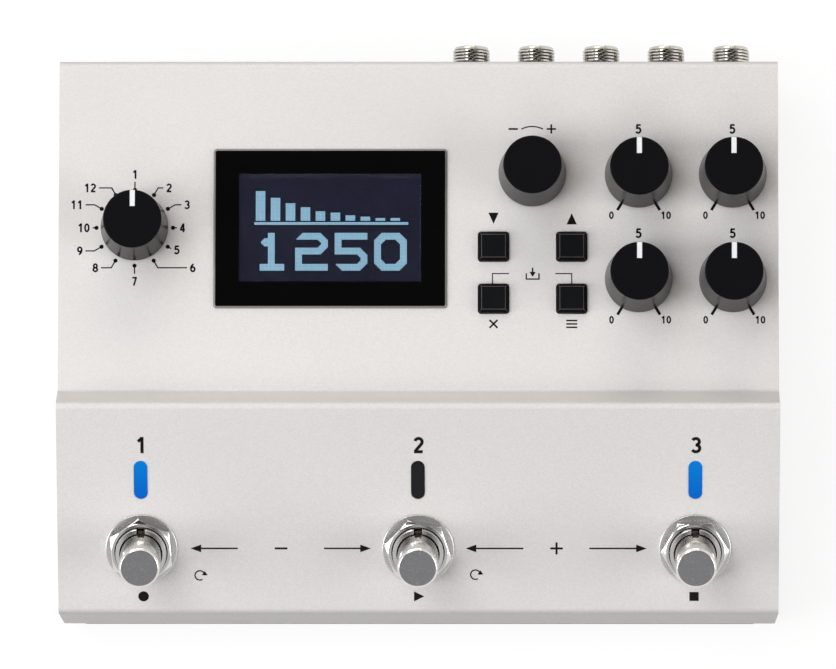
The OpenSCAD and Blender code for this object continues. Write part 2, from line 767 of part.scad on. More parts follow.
// Moulded knob: hollow skirt round a hub, with or without a pointer groove
module knob(xy, pointer) {
    foot = [knob_foot_d / 2, 0];
    rim = [knob_top_d / 2, knob_h];
    roof = knob_h - knob_top_t;
    color([0.1, 0.1, 0.11]) translate([xy.x, xy.y, deck_z + knob_gap]) difference() {
        rotate_extrude() difference() {
            polygon([[0, 0], foot, rim, [0, knob_h]]);
            bend(foot, rim, [0, knob_h], knob_edge_r);
            polygon([[hub_d / 2, -over], [foot.x - knob_wall, -over], [rim.x - knob_wall, roof],
                [hub_d / 2, roof]]);
        }
        translate([0, 0, -over]) linear_extrude(shaft_grip + over + rest_gap)
            shaft_outline(shaft_d + 2 * seat_gap);
        if (pointer) translate([-pointer_w / 2, knob_top_d / 2 - pointer_l, knob_h - pointer_t])
            cube([pointer_w, pointer_l + over, pointer_t + over]);
    }
}

module mode_knob() { knob(mode_xy, true); }
module value_knob() { knob(value_xy, false); }
module feedback_knob() { knob(feedback_xy, true); }
module level_knob() { knob(level_xy, true); }
module tone_knob() { knob(tone_xy, true); }
module depth_knob() { knob(depth_xy, true); }

// Round shaft with a flat where the knob grips it
module shaft(xy) {
    grip_z = deck_z + knob_gap;
    color("silver") translate([xy.x, xy.y, 0]) {
        translate([0, 0, shaft_foot]) cylinder(h = grip_z - shaft_foot, d = shaft_d);
        translate([0, 0, grip_z]) linear_extrude(shaft_grip) shaft_outline(shaft_d);
    }
}

module mode_shaft() { shaft(mode_xy); }
module value_shaft() { shaft(value_xy); }
module feedback_shaft() { shaft(feedback_xy); }
module level_shaft() { shaft(level_xy); }
module tone_shaft() { shaft(tone_xy); }
module depth_shaft() { shaft(depth_xy); }

// Body of a rotary control on the panel board, with the bearing for its shaft
module control_body(xy) {
    translate([xy.x, xy.y, panel_top]) difference() {
        linear_extrude(control_h) children();
        translate([0, 0, shaft_foot - panel_top]) cylinder(h = control_h, d = shaft_d + 2 * run_gap);
    }
}

module mode_switch() { color([0.2, 0.2, 0.22]) control_body(mode_xy) circle(d = rotary_d); }
module value_encoder() {
    color([0.35, 0.37, 0.38]) control_body(value_xy) square([encoder_w, encoder_d], center = true);
}
module potentiometers() {
    color([0.35, 0.37, 0.38]) for (xy = pot_xy) control_body(xy) square([pot_w, pot_d], center = true);
}

// Button cap, the flange that keeps it under the panel and the stem that presses its switch
flange_z = deck_in - key_flange_t - rest_gap;
tact_h = flange_z - panel_top - key_travel - rest_gap;
stem_foot = panel_top + tact_h - end_gap;
module button(xy) {
    color([0.08, 0.08, 0.09]) translate([xy.x, xy.y, 0]) {
        cap_z = flange_z + key_flange_t / 2;
        translate([0, 0, cap_z]) chamfered_plate(key_w, key_d, deck_z + key_h - cap_z, key_r, key_chamfer);
        translate([0, 0, flange_z]) linear_extrude(key_flange_t)
            rounded_rect(key_w + 2 * key_flange, key_d + 2 * key_flange, key_r);
        translate([0, 0, stem_foot]) cylinder(h = cap_z - stem_foot, d = tact_stem_d);
    }
}

module down_button() { button(down_xy); }
module up_button() { button(up_xy); }
module exit_button() { button(exit_xy); }
module edit_button() { button(edit_xy); }

module push_switches() {
    color([0.15, 0.15, 0.16]) for (xy = key_xy) translate([xy.x, xy.y, panel_top]) difference() {
        translate([0, 0, tact_h / 2]) cube([tact_w, tact_w, tact_h], center = true);
        translate([0, 0, stem_foot - panel_top - key_travel - rest_gap])
            cylinder(h = tact_h, d = tact_stem_d + 2 * run_gap);
    }
}

// Footswitch body: threaded bushing, square housing and three solder lugs
module footswitch(x) {
    color([0.75, 0.76, 0.78]) on_slope(x, switch_down) difference() {
        union() {
            translate([0, 0, -shoulder]) cylinder(h = shoulder + bushing_h, d = bushing_d);
            translate([0, 0, -case_wall - switch_h / 2]) cube([switch_w, switch_w, switch_h], center = true);
            for (k = [-1:1]) translate([k * lug_pitch, 0, over / 2 - case_wall - switch_h - lug_l / 2])
                cube([lug_t, lug_w, lug_l + over], center = true);
        }
        translate([0, 0, -shoulder - over]) cylinder(h = shoulder + bushing_h + 2 * over, d = bushing_bore);
        translate([0, 0, -cavity_end]) cylinder(h = cavity_end - shoulder, d = cavity_d);
        translate([-keyway_w / 2, bushing_bore / 2 - over, washer_t])
            cube([keyway_w, over + bushing_d, bushing_h]);
    }
}

module left_footswitch() { footswitch(switch_x[0]); }
module middle_footswitch() { footswitch(switch_x[1]); }
module right_footswitch() { footswitch(switch_x[2]); }

// Turned plunger: foot cap, guided barrel, stop flange and stem
module plunger(x) {
    cap = plunger_d / 2;
    color([0.8, 0.8, 0.8]) on_slope(x, switch_down) rotate_extrude() polygon([
        [0, plunger_h], [cap - plunger_chamfer, plunger_h], [cap, plunger_h - plunger_chamfer],
        [cap, -flange_top], [flange_d / 2, -flange_top],
        [flange_d / 2, -flange_top - flange_t], [stem_d / 2, -flange_top - flange_t],
        [stem_d / 2, -stem_end], [0, -stem_end]]);
}

module left_plunger() { plunger(switch_x[0]); }
module middle_plunger() { plunger(switch_x[1]); }
module right_plunger() { plunger(switch_x[2]); }

// Return spring: one round wire swept along a helix
spring_sides = 6;
spring_rings = 10;
module coil(length, mean_d, wire, turns) {
    steps = turns * spring_rings;
    rise = length - wire;
    points = [for (i = [0:steps], k = [0:spring_sides - 1])
        let (a = 360 * i / spring_rings, b = 360 * k / spring_sides, r = mean_d / 2 + wire / 2 * cos(b))
        [r * cos(a), r * sin(a), wire / 2 + rise * i / steps + wire / 2 * sin(b)]];
    at = function(i, k) i * spring_sides + (k + spring_sides) % spring_sides;
    sides = [for (i = [0:steps - 1], k = [0:spring_sides - 1], half = [0, 1])
        half == 0 ? [at(i, k), at(i, k + 1), at(i + 1, k)] : [at(i, k + 1), at(i + 1, k + 1), at(i + 1, k)]];
    ends = [for (k = [1:spring_sides - 2], e = [0, 1])
        e == 0 ? [at(0, 0), at(0, k + 1), at(0, k)] : [at(steps, 0), at(steps, k), at(steps, k + 1)]];
    polyhedron(points, concat(sides, ends));
}

module spring(x) {
    color("silver") on_slope(x, switch_down) translate([0, 0, -spring_end])
        coil(spring_end - spring_top, spring_d, spring_wire, spring_turns);
}

module left_spring() { spring(switch_x[0]); }
module middle_spring() { spring(switch_x[1]); }
module right_spring() { spring(switch_x[2]); }

// Each nut stops at its own turn when it is tightened
nut_turns = [94.7, 108, 121];
nut_step = 17;
nut_chamfer = 0.4;
module footswitch_nuts() {
    color([0.8, 0.8, 0.82]) for (i = [0:2]) on_slope(switch_x[i], switch_down)
        translate([0, 0, washer_t])
            hex_nut(nut_af, nut_t, bushing_d + 2 * seat_gap, nut_turns[i], nut_chamfer);
}

module footswitch_washers() {
    color([0.7, 0.71, 0.72]) for (x = switch_x) on_slope(x, switch_down) difference() {
        cylinder(h = washer_t, d = washer_d);
        translate([0, 0, -over]) cylinder(h = washer_t + 2 * over, d = bushing_d + 2 * cut_gap);
    }
}

// Indicator lens: light pipe through the slope with a flange behind it
module indicator(x) {
    on_slope(x, lamp_down) {
        translate([0, 0, -case_wall - lamp_tail]) linear_extrude(case_wall + lamp_tail + lamp_h)
            stadium(lamp_w, lamp_l);
        translate([0, 0, -case_wall - lamp_flange]) linear_extrude(lamp_flange)
            stadium(lamp_w + 2 * lamp_flange, lamp_l + 2 * lamp_flange);
    }
}

module left_indicator() { color([0.05, 0.45, 0.9]) indicator(switch_x[0]); }
module middle_indicator() { color([0.14, 0.14, 0.17]) indicator(switch_x[1]); }
module right_indicator() { color([0.05, 0.45, 0.9]) indicator(switch_x[2]); }

module indicator_board() {
    color([0.1, 0.3, 0.16]) difference() {
        on_slope(0, lamp_down) translate([0, 0, -case_wall - lamp_gap - board_t / 2])
            cube([2 * (switch_x[2] + lamp_board_end), lamp_board_d, board_t], center = true);
        for (p = lamp_posts) on_slope(p.x, p.y) translate([0, 0, -case_wall - lamp_gap - board_t - over])
            cylinder(h = board_t + 2 * over, d = board_hole);
    }
}

module indicator_chips() {
    color([0.9, 0.9, 0.8]) for (x = switch_x, k = [-1, 1]) on_slope(x, lamp_down - k * lamp_l / 4)
        translate([0, 0, chip_h / 2 - case_wall - lamp_gap]) cube([chip_w, chip_d, chip_h], center = true);
}

// Quarter-inch jack: moulded body on the main board and a bushing through the rear wall
module jack(i) {
    x = jack_x[i];
    stub = over + case_wall + jack_reach;
    color([0.12, 0.12, 0.13]) difference() {
        union() {
            translate([x - jack_w / 2, rear_in - jack_l, main_top])
                cube([jack_w, jack_l, jack_axis_h + jack_top]);
            on_rear(x, jack_z, rear_in - over) rotate_extrude() polygon([[0, 0], [jack_d / 2, 0],
                [jack_d / 2, stub - end_chamfer], [jack_d / 2 - end_chamfer, stub], [0, stub]]);
        }
        on_rear(x, jack_z, rear_y + jack_reach - jack_bore_l) cylinder(h = jack_bore_l + over, d = jack_bore);
    }
}

module input_jack_a() { jack(0); }
module input_jack_b() { jack(1); }
module output_jack_a() { jack(2); }
module output_jack_b() { jack(3); }
module control_jack() { jack(4); }

module jack_nuts() {
    color([0.8, 0.8, 0.82]) for (i = [0:4]) on_rear(jack_x[i], jack_z)
        hex_nut(jack_nut_af, jack_nut_t, jack_d + 2 * seat_gap, nut_step * i, nut_chamfer);
}

// Five-pin round sockets: block body, collar through the rear wall, ring slot and pin holes
module midi_sockets() {
    slot_floor = case_wall - midi_slot_l;
    color([0.1, 0.1, 0.11]) for (x = midi_x) on_rear(x, midi_z, rear_in) difference() {
        union() {
            translate([0, 0, -midi_l / 2]) cube([midi_w, midi_w, midi_l], center = true);
            translate([0, 0, -over]) cylinder(h = case_wall + over + end_gap, d = midi_collar_d);
        }
        translate([0, 0, slot_floor]) difference() {
            cylinder(h = midi_slot_l + over, d = midi_open_d);
            translate([0, 0, -over]) cylinder(h = midi_slot_l + over - end_gap, d = midi_core_d);
        }
        for (a = [-90:45:90]) rotate(a - 90) translate([pin_r, 0, slot_floor])
            cylinder(h = midi_slot_l + over, d = pin_d);
    }
}

// Square computer port: folded shell round a contact tongue
module usb_port() {
    mouth_w = usb_w - 2 * usb_wall;
    mouth_h = usb_h - 2 * usb_wall;
    color("silver") on_rear(usb_x, usb_z, rear_y) difference() {
        translate([0, 0, -case_wall - usb_l / 2]) cube([usb_w, usb_h, usb_l + 2 * case_wall], center = true);
        translate([0, 0, over / 2 - usb_mouth / 2]) difference() {
            cube([mouth_w, mouth_h, usb_mouth + over], center = true);
            translate([0, 0, -over])
                cube([mouth_w - 2 * usb_gap, mouth_h - 2 * usb_gap, usb_mouth], center = true);
        }
    }
}

// Barrel power inlet: block body with a round nose and a centre pin
module power_inlet() {
    color([0.1, 0.1, 0.11]) on_rear(dc_x, dc_z, rear_in) difference() {
        union() {
            translate([0, 0, -dc_l / 2]) cube([dc_w, dc_h, dc_l], center = true);
            translate([0, 0, -over]) cylinder(h = case_wall + over, d = dc_nose_d);
        }
        translate([0, 0, case_wall - dc_bore_l]) difference() {
            cylinder(h = dc_bore_l + over, d = dc_bore);
            translate([0, 0, -over]) cylinder(h = dc_bore_l, d = dc_pin_d);
        }
    }
}

// Latching power switch on the main board, and its button through the rear wall
module power_switch() {
    hole_l = power_stem_l + power_travel + end_gap;
    body_l = hole_l + power_wall;
    color([0.15, 0.15, 0.16]) on_rear(power_x, power_z, power_body_y) difference() {
        translate([0, 0, -body_l / 2]) cube([power_w, power_w, body_l], center = true);
        translate([0, 0, -hole_l]) cylinder(h = body_l, d = power_stem_d + 2 * run_gap);
    }
}

module power_button() {
    color([0.08, 0.08, 0.09]) on_rear(power_x, power_z, power_face_y) {
        cap_l = rear_y - power_face_y + power_reach;
        stem = power_face_y - power_body_y + power_stem_l;
        rotate_extrude() polygon([[0, 0], [power_d / 2, 0], [power_d / 2, cap_l - end_chamfer],
            [power_d / 2 - end_chamfer, cap_l], [0, cap_l]]);
        translate([0, 0, -stem]) cylinder(h = stem + over, d = power_stem_d);
    }
}

// Main board: full width under the sockets, narrower between the screw bosses
module main_board() {
    color([0.1, 0.3, 0.16]) translate([0, 0, main_z]) difference() {
        linear_extrude(board_t) {
            translate([-panel_half_w, main_step_y])
                square([2 * panel_half_w, rear_in - end_gap - main_step_y]);
            translate([-main_half_w, main_front_y])
                square([2 * main_half_w, main_step_y - main_front_y + over]);
        }
        for (p = spacers) translate([p.x, p.y, -over]) cylinder(h = board_t + 2 * over, d = board_hole);
    }
}

// Signal processor, memory chips and capacitors on the main board
module main_board_parts() {
    row_y = memory_d / 2 + 2 * clear_gap;
    processor_x = memory_x - memory_w / 2 - processor_w / 2 - 6 * clear_gap;
    color([0.13, 0.13, 0.14]) translate([0, main_step_y - 2 * row_y - 2 * clear_gap, main_top]) {
        translate([processor_x, 0, chip_h / 2]) cube([processor_w, processor_w, chip_h], center = true);
        for (k = [-1, 1]) translate([memory_x, k * row_y, chip_h / 2])
            cube([memory_w, memory_d, chip_h], center = true);
        for (k = [0:4]) translate([capacitor_x + k * capacitor_pitch, 0, 0]) {
            translate([0, row_y, 0]) cylinder(h = capacitor_h, d = capacitor_d);
            translate([0, -row_y, chip_h / 2]) cube([amplifier_w, amplifier_d, chip_h], center = true);
        }
    }
}

module panel_board() {
    color([0.1, 0.3, 0.16]) translate([0, 0, panel_top - board_t]) difference() {
        linear_extrude(board_t) translate([-panel_half_w, panel_front_y])
            square([2 * panel_half_w, panel_rear_y - panel_front_y]);
        for (p = panel_posts) translate([p.x, p.y, -over]) cylinder(h = board_t + 2 * over, d = board_hole);
    }
}

module board_spacers() {
    color("silver") for (p = spacers) translate([p.x, p.y, rim_z]) difference() {
        cylinder(h = spacer_h, d = post_d);
        translate([0, 0, -over]) cylinder(h = spacer_h + 2 * over, d = post_hole);
    }
}

// Pan-head screw with its head on z = 0 and its shank upwards
module board_screw(reach) {
    translate([0, 0, -screw_head_h]) cylinder(h = screw_head_h, d = screw_head_d);
    translate([0, 0, -screw_head_h / 2]) cylinder(h = reach + screw_head_h / 2, d = board_screw_d);
}

module board_screws() {
    reach = board_t + screw_reach;
    color("silver") {
        for (p = panel_posts) translate([p.x, p.y, panel_top - board_t]) board_screw(reach);
        for (p = lamp_posts) on_slope(p.x, p.y)
            translate([0, 0, -case_wall - lamp_gap - board_t]) board_screw(reach);
        for (p = spacers) translate([p.x, p.y, main_top]) rotate([180, 0, 0])
            board_screw(board_t + spacer_h - end_gap);
    }
}

// Flat cable between the panel board and the main board, with a header at each end
module ribbon_cable() {
    top = panel_top - board_t;
    color([0.6, 0.6, 0.62]) translate([ribbon_x, panel_front_y + header_d / 2 + end_gap, 0]) {
        translate([0, 0, (top + main_top) / 2])
            cube([ribbon_w, ribbon_t, top - main_top - header_h], center = true);
        for (z = [top - header_h / 2, main_top + header_h / 2])
            translate([0, 0, z]) cube([ribbon_w + header_h, header_d, header_h], center = true);
    }
}

top_case();
bottom_cover();
rubber_feet();
cover_screws();
display_window();
display_glass();
display_frame();
mode_knob();
value_knob();
feedback_knob();
level_knob();
tone_knob();
depth_knob();
mode_shaft();
value_shaft();
feedback_shaft();
level_shaft();
tone_shaft();
depth_shaft();
mode_switch();
value_encoder();
potentiometers();
down_button();
up_button();
exit_button();
edit_button();
push_switches();
left_footswitch();
middle_footswitch();
right_footswitch();
left_plunger();
middle_plunger();
right_plunger();
left_spring();
middle_spring();
right_spring();
footswitch_nuts();
footswitch_washers();
left_indicator();
middle_indicator();
right_indicator();
indicator_board();
indicator_chips();
input_jack_a();
input_jack_b();
output_jack_a();
output_jack_b();
control_jack();
jack_nuts();
midi_sockets();
usb_port();
power_inlet();
power_switch();
power_button();
main_board();
main_board_parts();
panel_board();
board_spacers();
board_screws();
ribbon_cable();
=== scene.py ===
import math

import bmesh
import bpy
import numpy as np
from mathutils import Matrix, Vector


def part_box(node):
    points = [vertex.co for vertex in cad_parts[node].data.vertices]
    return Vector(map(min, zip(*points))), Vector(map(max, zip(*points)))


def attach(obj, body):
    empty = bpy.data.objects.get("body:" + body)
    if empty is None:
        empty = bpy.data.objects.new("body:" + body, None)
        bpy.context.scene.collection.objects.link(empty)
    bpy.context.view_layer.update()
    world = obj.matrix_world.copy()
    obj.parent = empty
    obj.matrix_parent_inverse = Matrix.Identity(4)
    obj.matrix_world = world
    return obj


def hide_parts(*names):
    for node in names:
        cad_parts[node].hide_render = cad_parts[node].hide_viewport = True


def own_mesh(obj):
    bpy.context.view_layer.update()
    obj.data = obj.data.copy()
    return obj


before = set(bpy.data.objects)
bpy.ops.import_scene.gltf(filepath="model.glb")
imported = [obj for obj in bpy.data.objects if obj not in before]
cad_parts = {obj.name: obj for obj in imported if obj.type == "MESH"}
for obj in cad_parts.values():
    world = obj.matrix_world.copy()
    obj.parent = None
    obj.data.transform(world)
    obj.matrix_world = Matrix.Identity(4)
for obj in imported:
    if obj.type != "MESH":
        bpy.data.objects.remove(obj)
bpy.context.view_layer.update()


# Case: a shell of folded sheet metal, closed at the sides and sprayed a satin pearl white whose
# fine flakes glint. It carries every control and is screwed to the bottom cover from below.

def rgb(r, g, b):
    """A screen colour, 0 to 255, as the linear colour that shaders read."""
    c = np.array([r, g, b]) / 255.0
    return (*np.where(c <= 0.04045, c / 12.92, ((c + 0.055) / 1.055) ** 2.4).tolist(), 1.0)


def node(tree, kind, options=None, **feeds):
    """Adds a shader node. Options are its own settings; feeds are values, or sockets, for its inputs
    by name, or by place as _0, _1."""
    made = tree.nodes.new("ShaderNode" + kind)
    for key, value in (options or {}).items():
        setattr(made, key, value)
    for key, value in feeds.items():
        socket = made.inputs[int(key[1:]) if key[0] == "_" else key.replace("_", " ")]
        if isinstance(value, bpy.types.NodeSocket):
            tree.links.new(value, socket)
        else:
            socket.default_value = value
    return made


def start_group(name, inputs, outputs):
    """A new shader node group with float inputs {name: default} and outputs {name: socket kind}."""
    group = bpy.data.node_groups.new(name, "ShaderNodeTree")
    for label, value in inputs.items():
        socket = group.interface.new_socket(label, in_out="INPUT", socket_type="NodeSocketFloat")
        socket.default_value = value
    for label, kind in outputs.items():
        group.interface.new_socket(label, in_out="OUTPUT", socket_type="NodeSocket" + kind)
    return group, group.nodes.new("NodeGroupInput").outputs, group.nodes.new("NodeGroupOutput").inputs


def spread(tree, value, low, high, most=1.0):
    """Stretches a value that runs from low to high over 0 to most, and holds it there at both ends.
    Where low is the larger, the result falls as the value rises."""
    return node(tree, "MapRange", None, Value=value, From_Min=low, From_Max=high, To_Max=most).outputs[0]


def here(tree):
    """The place on the object, in metres."""
    return node(tree, "TexCoord").outputs["Object"]


# Shared grain: Fine is a small even noise and Cloud a broad soft one, both spread over 0 to 1. The
# scales are in cycles per metre.
grain, take, give = start_group("surface_grain", {"Fine Scale": 4000.0, "Cloud Scale": 80.0},
                                {"Fine": "Float", "Cloud": "Float"})
place = here(grain)
fine = node(grain, "TexNoise", None, Vector=place, Scale=take["Fine Scale"], Detail=3.0, Roughness=0.6)
cloud = node(grain, "TexNoise", None, Vector=place, Scale=take["Cloud Scale"], Detail=4.0, Roughness=0.55)
grain.links.new(spread(grain, fine.outputs[0], 0.3, 0.7), give["Fine"])
grain.links.new(spread(grain, cloud.outputs[0], 0.3, 0.7), give["Cloud"])


def finish(name, colour, rough, metallic=0.0, tone=0.06, fine=4000.0, cloud=80.0, lift=0.004, **plain):
    """A surface whose colour wanders by the share `tone` in soft clouds, whose roughness runs between
    the two values of `rough` with the fine grain, and whose grain stands `lift` millimetres high.
    The rest goes on the shader's own sockets. Gives (material, tree, shader, grain node)."""
    material = bpy.data.materials.new(name)
    material.use_nodes = True
    tree = material.node_tree
    shader = tree.nodes["Principled BSDF"]
    noise = node(tree, "Group", {"node_tree": grain}, Fine_Scale=fine, Cloud_Scale=cloud)
    shade = [tuple(min(1.0, c * k) for c in colour[:3]) + (1.0,) for k in (1 - tone, 1 + tone)]
    mix = node(tree, "Mix", {"data_type": "RGBA"}, _0=noise.outputs["Cloud"], _6=shade[0], _7=shade[1])
    tree.links.new(mix.outputs[2], shader.inputs["Base Color"])
    level = node(tree, "MapRange", None, Value=noise.outputs["Fine"], To_Min=rough[0], To_Max=rough[1])
    tree.links.new(level.outputs[0], shader.inputs["Roughness"])
    bump = node(tree, "Bump", None, Strength=1.0, Distance=lift * 0.001, Height=noise.outputs["Fine"])
    tree.links.new(bump.outputs[0], shader.inputs["Normal"])
    shader.inputs["Metallic"].default_value = metallic
    for key, value in plain.items():
        shader.inputs[key.replace("_", " ")].default_value = value
    return material, tree, shader, noise


def dress(material, *names):
    """Puts a material on CAD nodes."""
    for name in names:
        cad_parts[name].material_slots[0].material = material


# Shared edge break for the CAD nodes: their loose triangles are joined, flat areas become single
# faces, and edges over the edge angle are marked sharp, so that a small bevel can round them.
edge_angle = math.radians(25.0)
joined = bpy.data.node_groups.new("joined_faces", "GeometryNodeTree")
joined.interface.new_socket("Geometry", in_out="INPUT", socket_type="NodeSocketGeometry")
joined.interface.new_socket("Geometry", in_out="OUTPUT", socket_type="NodeSocketGeometry")
start = joined.nodes.new("NodeGroupInput")
plain_normals = joined.nodes.new("GeometryNodeRemoveAttribute")
smooth_faces = joined.nodes.new("GeometryNodeSetShadeSmooth")
sharp_edges = joined.nodes.new("GeometryNodeSetShadeSmooth")
end = joined.nodes.new("NodeGroupOutput")
steps = [start, plain_normals, smooth_faces, sharp_edges, end]
for one, other in zip(steps, steps[1:]):
    joined.links.new(one.outputs[0], other.inputs[0])
plain_normals.inputs["Name"].default_value = "custom_normal"
sharp_edges.domain = "EDGE"
sharp_edges.inputs["Shade Smooth"].default_value = False
bent = joined.nodes.new("FunctionNodeCompare")
bent.inputs[1].default_value = edge_angle
joined.links.new(joined.nodes.new("GeometryNodeInputMeshEdgeAngle").outputs[0], bent.inputs[0])
joined.links.new(bent.outputs[0], sharp_edges.inputs["Selection"])


def soften(width, *names):
    """Rounds the edges of CAD nodes by a bevel of this width in millimetres."""
    for name in names:
        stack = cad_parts[name].modifiers
        stack.new("weld", "WELD").merge_threshold = 1e-6
        flat = stack.new("flat", "DECIMATE")
        flat.decimate_type = "DISSOLVE"
        flat.angle_limit = math.radians(0.3)
        stack.new("joined", "NODES").node_group = joined
        edge = stack.new("edge", "BEVEL")
        edge.width = width * 0.001
        edge.segments = 3
        edge.limit_method = "ANGLE"
        edge.angle_limit = edge_angle
        edge.use_clamp_overlap = True
        stack.new("normals", "WEIGHTED_NORMAL").keep_sharp = True


# Shared flakes: every cell of a fine mosaic leans its own way and is a little lighter or darker.
flakes, take, give = start_group("pearl_flakes", {"Scale": 3500.0, "Lean": 0.06},
                                 {"Shade": "Float", "Normal": "Vector"})
mosaic = node(flakes, "TexVoronoi", None, Vector=here(flakes), Scale=take["Scale"]).outputs["Color"]
tilt = node(flakes, "VectorMath", {"operation": "SUBTRACT"}, _0=mosaic, _1=(0.5, 0.5, 0.5)).outputs[0]
tilt = node(flakes, "VectorMath", {"operation": "SCALE"}, _0=tilt, Scale=take["Lean"]).outputs[0]
upright = node(flakes, "NewGeometry").outputs["Normal"]
tilt = node(flakes, "VectorMath", {"operation": "ADD"}, _0=tilt, _1=upright).outputs[0]
tilt = node(flakes, "VectorMath", {"operation": "NORMALIZE"}, _0=tilt).outputs[0]
flakes.links.new(tilt, give["Normal"])
flakes.links.new(node(flakes, "SeparateColor", None, Color=mosaic).outputs[0], give["Shade"])

pearl, tree, shader, _ = finish("case_paint", rgb(225, 222, 220), (0.36, 0.46), tone=0.012, fine=900.0,
                                cloud=25.0, lift=0.0015, Specular_IOR_Level=0.5)
flake = node(tree, "Group", {"node_tree": flakes}, Scale=3200.0, Lean=0.10)
glint = node(tree, "MapRange", None, Value=flake.outputs["Shade"], To_Min=0.955, To_Max=1.045).outputs[0]
coat = shader.inputs["Base Color"]
glitter = node(tree, "Mix", {"data_type": "RGBA", "blend_type": "MULTIPLY"}, _0=1.0,
               _6=coat.links[0].from_socket, _7=glint)
tree.links.new(glitter.outputs[2], coat)
bump = shader.inputs["Normal"].links[0].from_node
tree.links.new(flake.outputs["Normal"], bump.inputs["Normal"])
dress(pearl, "top_case")
soften(0.35, "top_case")


# Printed marks: black silk-screen ink on both panels. It shows the mode dial with its leaders, the
# knobs' end marks, the button signs, and the arrows and signs round the footswitches.
deck_z = 46.5
ridge = np.array([0.0, -21.7, 56.0])
slope_drop, slope_run = 21.2, 47.3
slope = math.atan(slope_drop / slope_run)
ink_low, ink_high = -0.01, 0.02
fine_w, line_w, sign_w = 0.26, 0.3, 0.42


def loft(rows, ring=False):
    """A closed skin over a grid of points in rows: quads join neighbouring rows, each row closes on
    itself, and the end rows are filled, or joined to each other if ring is set."""
    rows = np.asarray(rows, float)
    index = np.arange(rows.shape[0] * rows.shape[1]).reshape(rows.shape[:2])
    one, other = (index, np.roll(index, -1, 0)) if ring else (index[:-1], index[1:])
    quads = np.stack([one, np.roll(one, -1, 1), np.roll(other, -1, 1), other], -1).reshape(-1, 4)
    ends = [] if ring else [index[0, ::-1].tolist(), index[-1].tolist()]
    return rows.reshape(-1, 3), quads.tolist() + ends


def make(name, parts, material, body, stands_for=(), sharp=30.0):
    """One finished piece from (points in millimetres, faces) parts: the place is in the mesh, doubles
    are merged, faces turned outwards, edges over `sharp` degrees kept crisp, and it rides on its body."""
    starts = np.cumsum([0] + [len(points) for points, _ in parts])
    faces = [[i + start for i in face] for (_, some), start in zip(parts, starts) for face in some]
    mesh = bpy.data.meshes.new(name)
    mesh.from_pydata((np.concatenate([points for points, _ in parts]) * 0.001).tolist(), [], faces)
    work = bmesh.new()
    work.from_mesh(mesh)
    bmesh.ops.remove_doubles(work, verts=work.verts, dist=1e-7)
    bmesh.ops.recalc_face_normals(work, faces=work.faces)
    work.to_mesh(mesh)
    work.free()
    mesh.shade_smooth()
    mesh.set_sharp_from_angle(angle=math.radians(sharp))
    mesh.materials.append(material)
    piece = bpy.data.objects.new(name, mesh)
    bpy.context.scene.collection.objects.link(piece)
    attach(piece, body)
    if stands_for:
        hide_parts(*stands_for)
    return piece


def film(outline):
    """A flat patch of ink: its outline at the foot and at the top of the film."""
    outline = np.asarray(outline, float)
    return loft([np.column_stack([outline, np.full(len(outline), z)]) for z in (ink_low, ink_high)])


def stroke(path, width, closed=False):
    """A line of ink: at each point of the path, the line's small rectangle stands half the width to
    either side, along the mitre between the two runs that meet there."""
    path = np.asarray(path, float)
    run = np.diff(path, axis=0, append=path[:1])
    side = np.stack([-run[:, 1], run[:, 0]], 1) / np.linalg.norm(run, axis=1)[:, None]
    if not closed:
        side[-1] = side[-2]
    before = np.roll(side, 1, 0) if closed else np.vstack([side[:1], side[:-1]])
    reach = (before + side) / (1 + (before * side).sum(1))[:, None] * width / 2
    level = [np.column_stack([path + k * reach, np.full(len(path), z)])
             for k, z in ((1, ink_low), (1, ink_high), (-1, ink_high), (-1, ink_low))]
    return loft(np.stack(level, 1), ring=closed)


def bow(x, y, rx, ry, start, end, count=15):
    """Points along an ellipse's arc, from one angle in degrees to another."""
    turn = np.radians(np.linspace(start, end, count))
    return np.column_stack([x + rx * np.cos(turn), y + ry * np.sin(turn)])


def disc(x, y, r, count=32):
    """A round patch of ink."""
    turn = np.arange(count) * 2 * math.pi / count
    return film(np.column_stack([x + r * np.cos(turn), y + r * np.sin(turn)]))


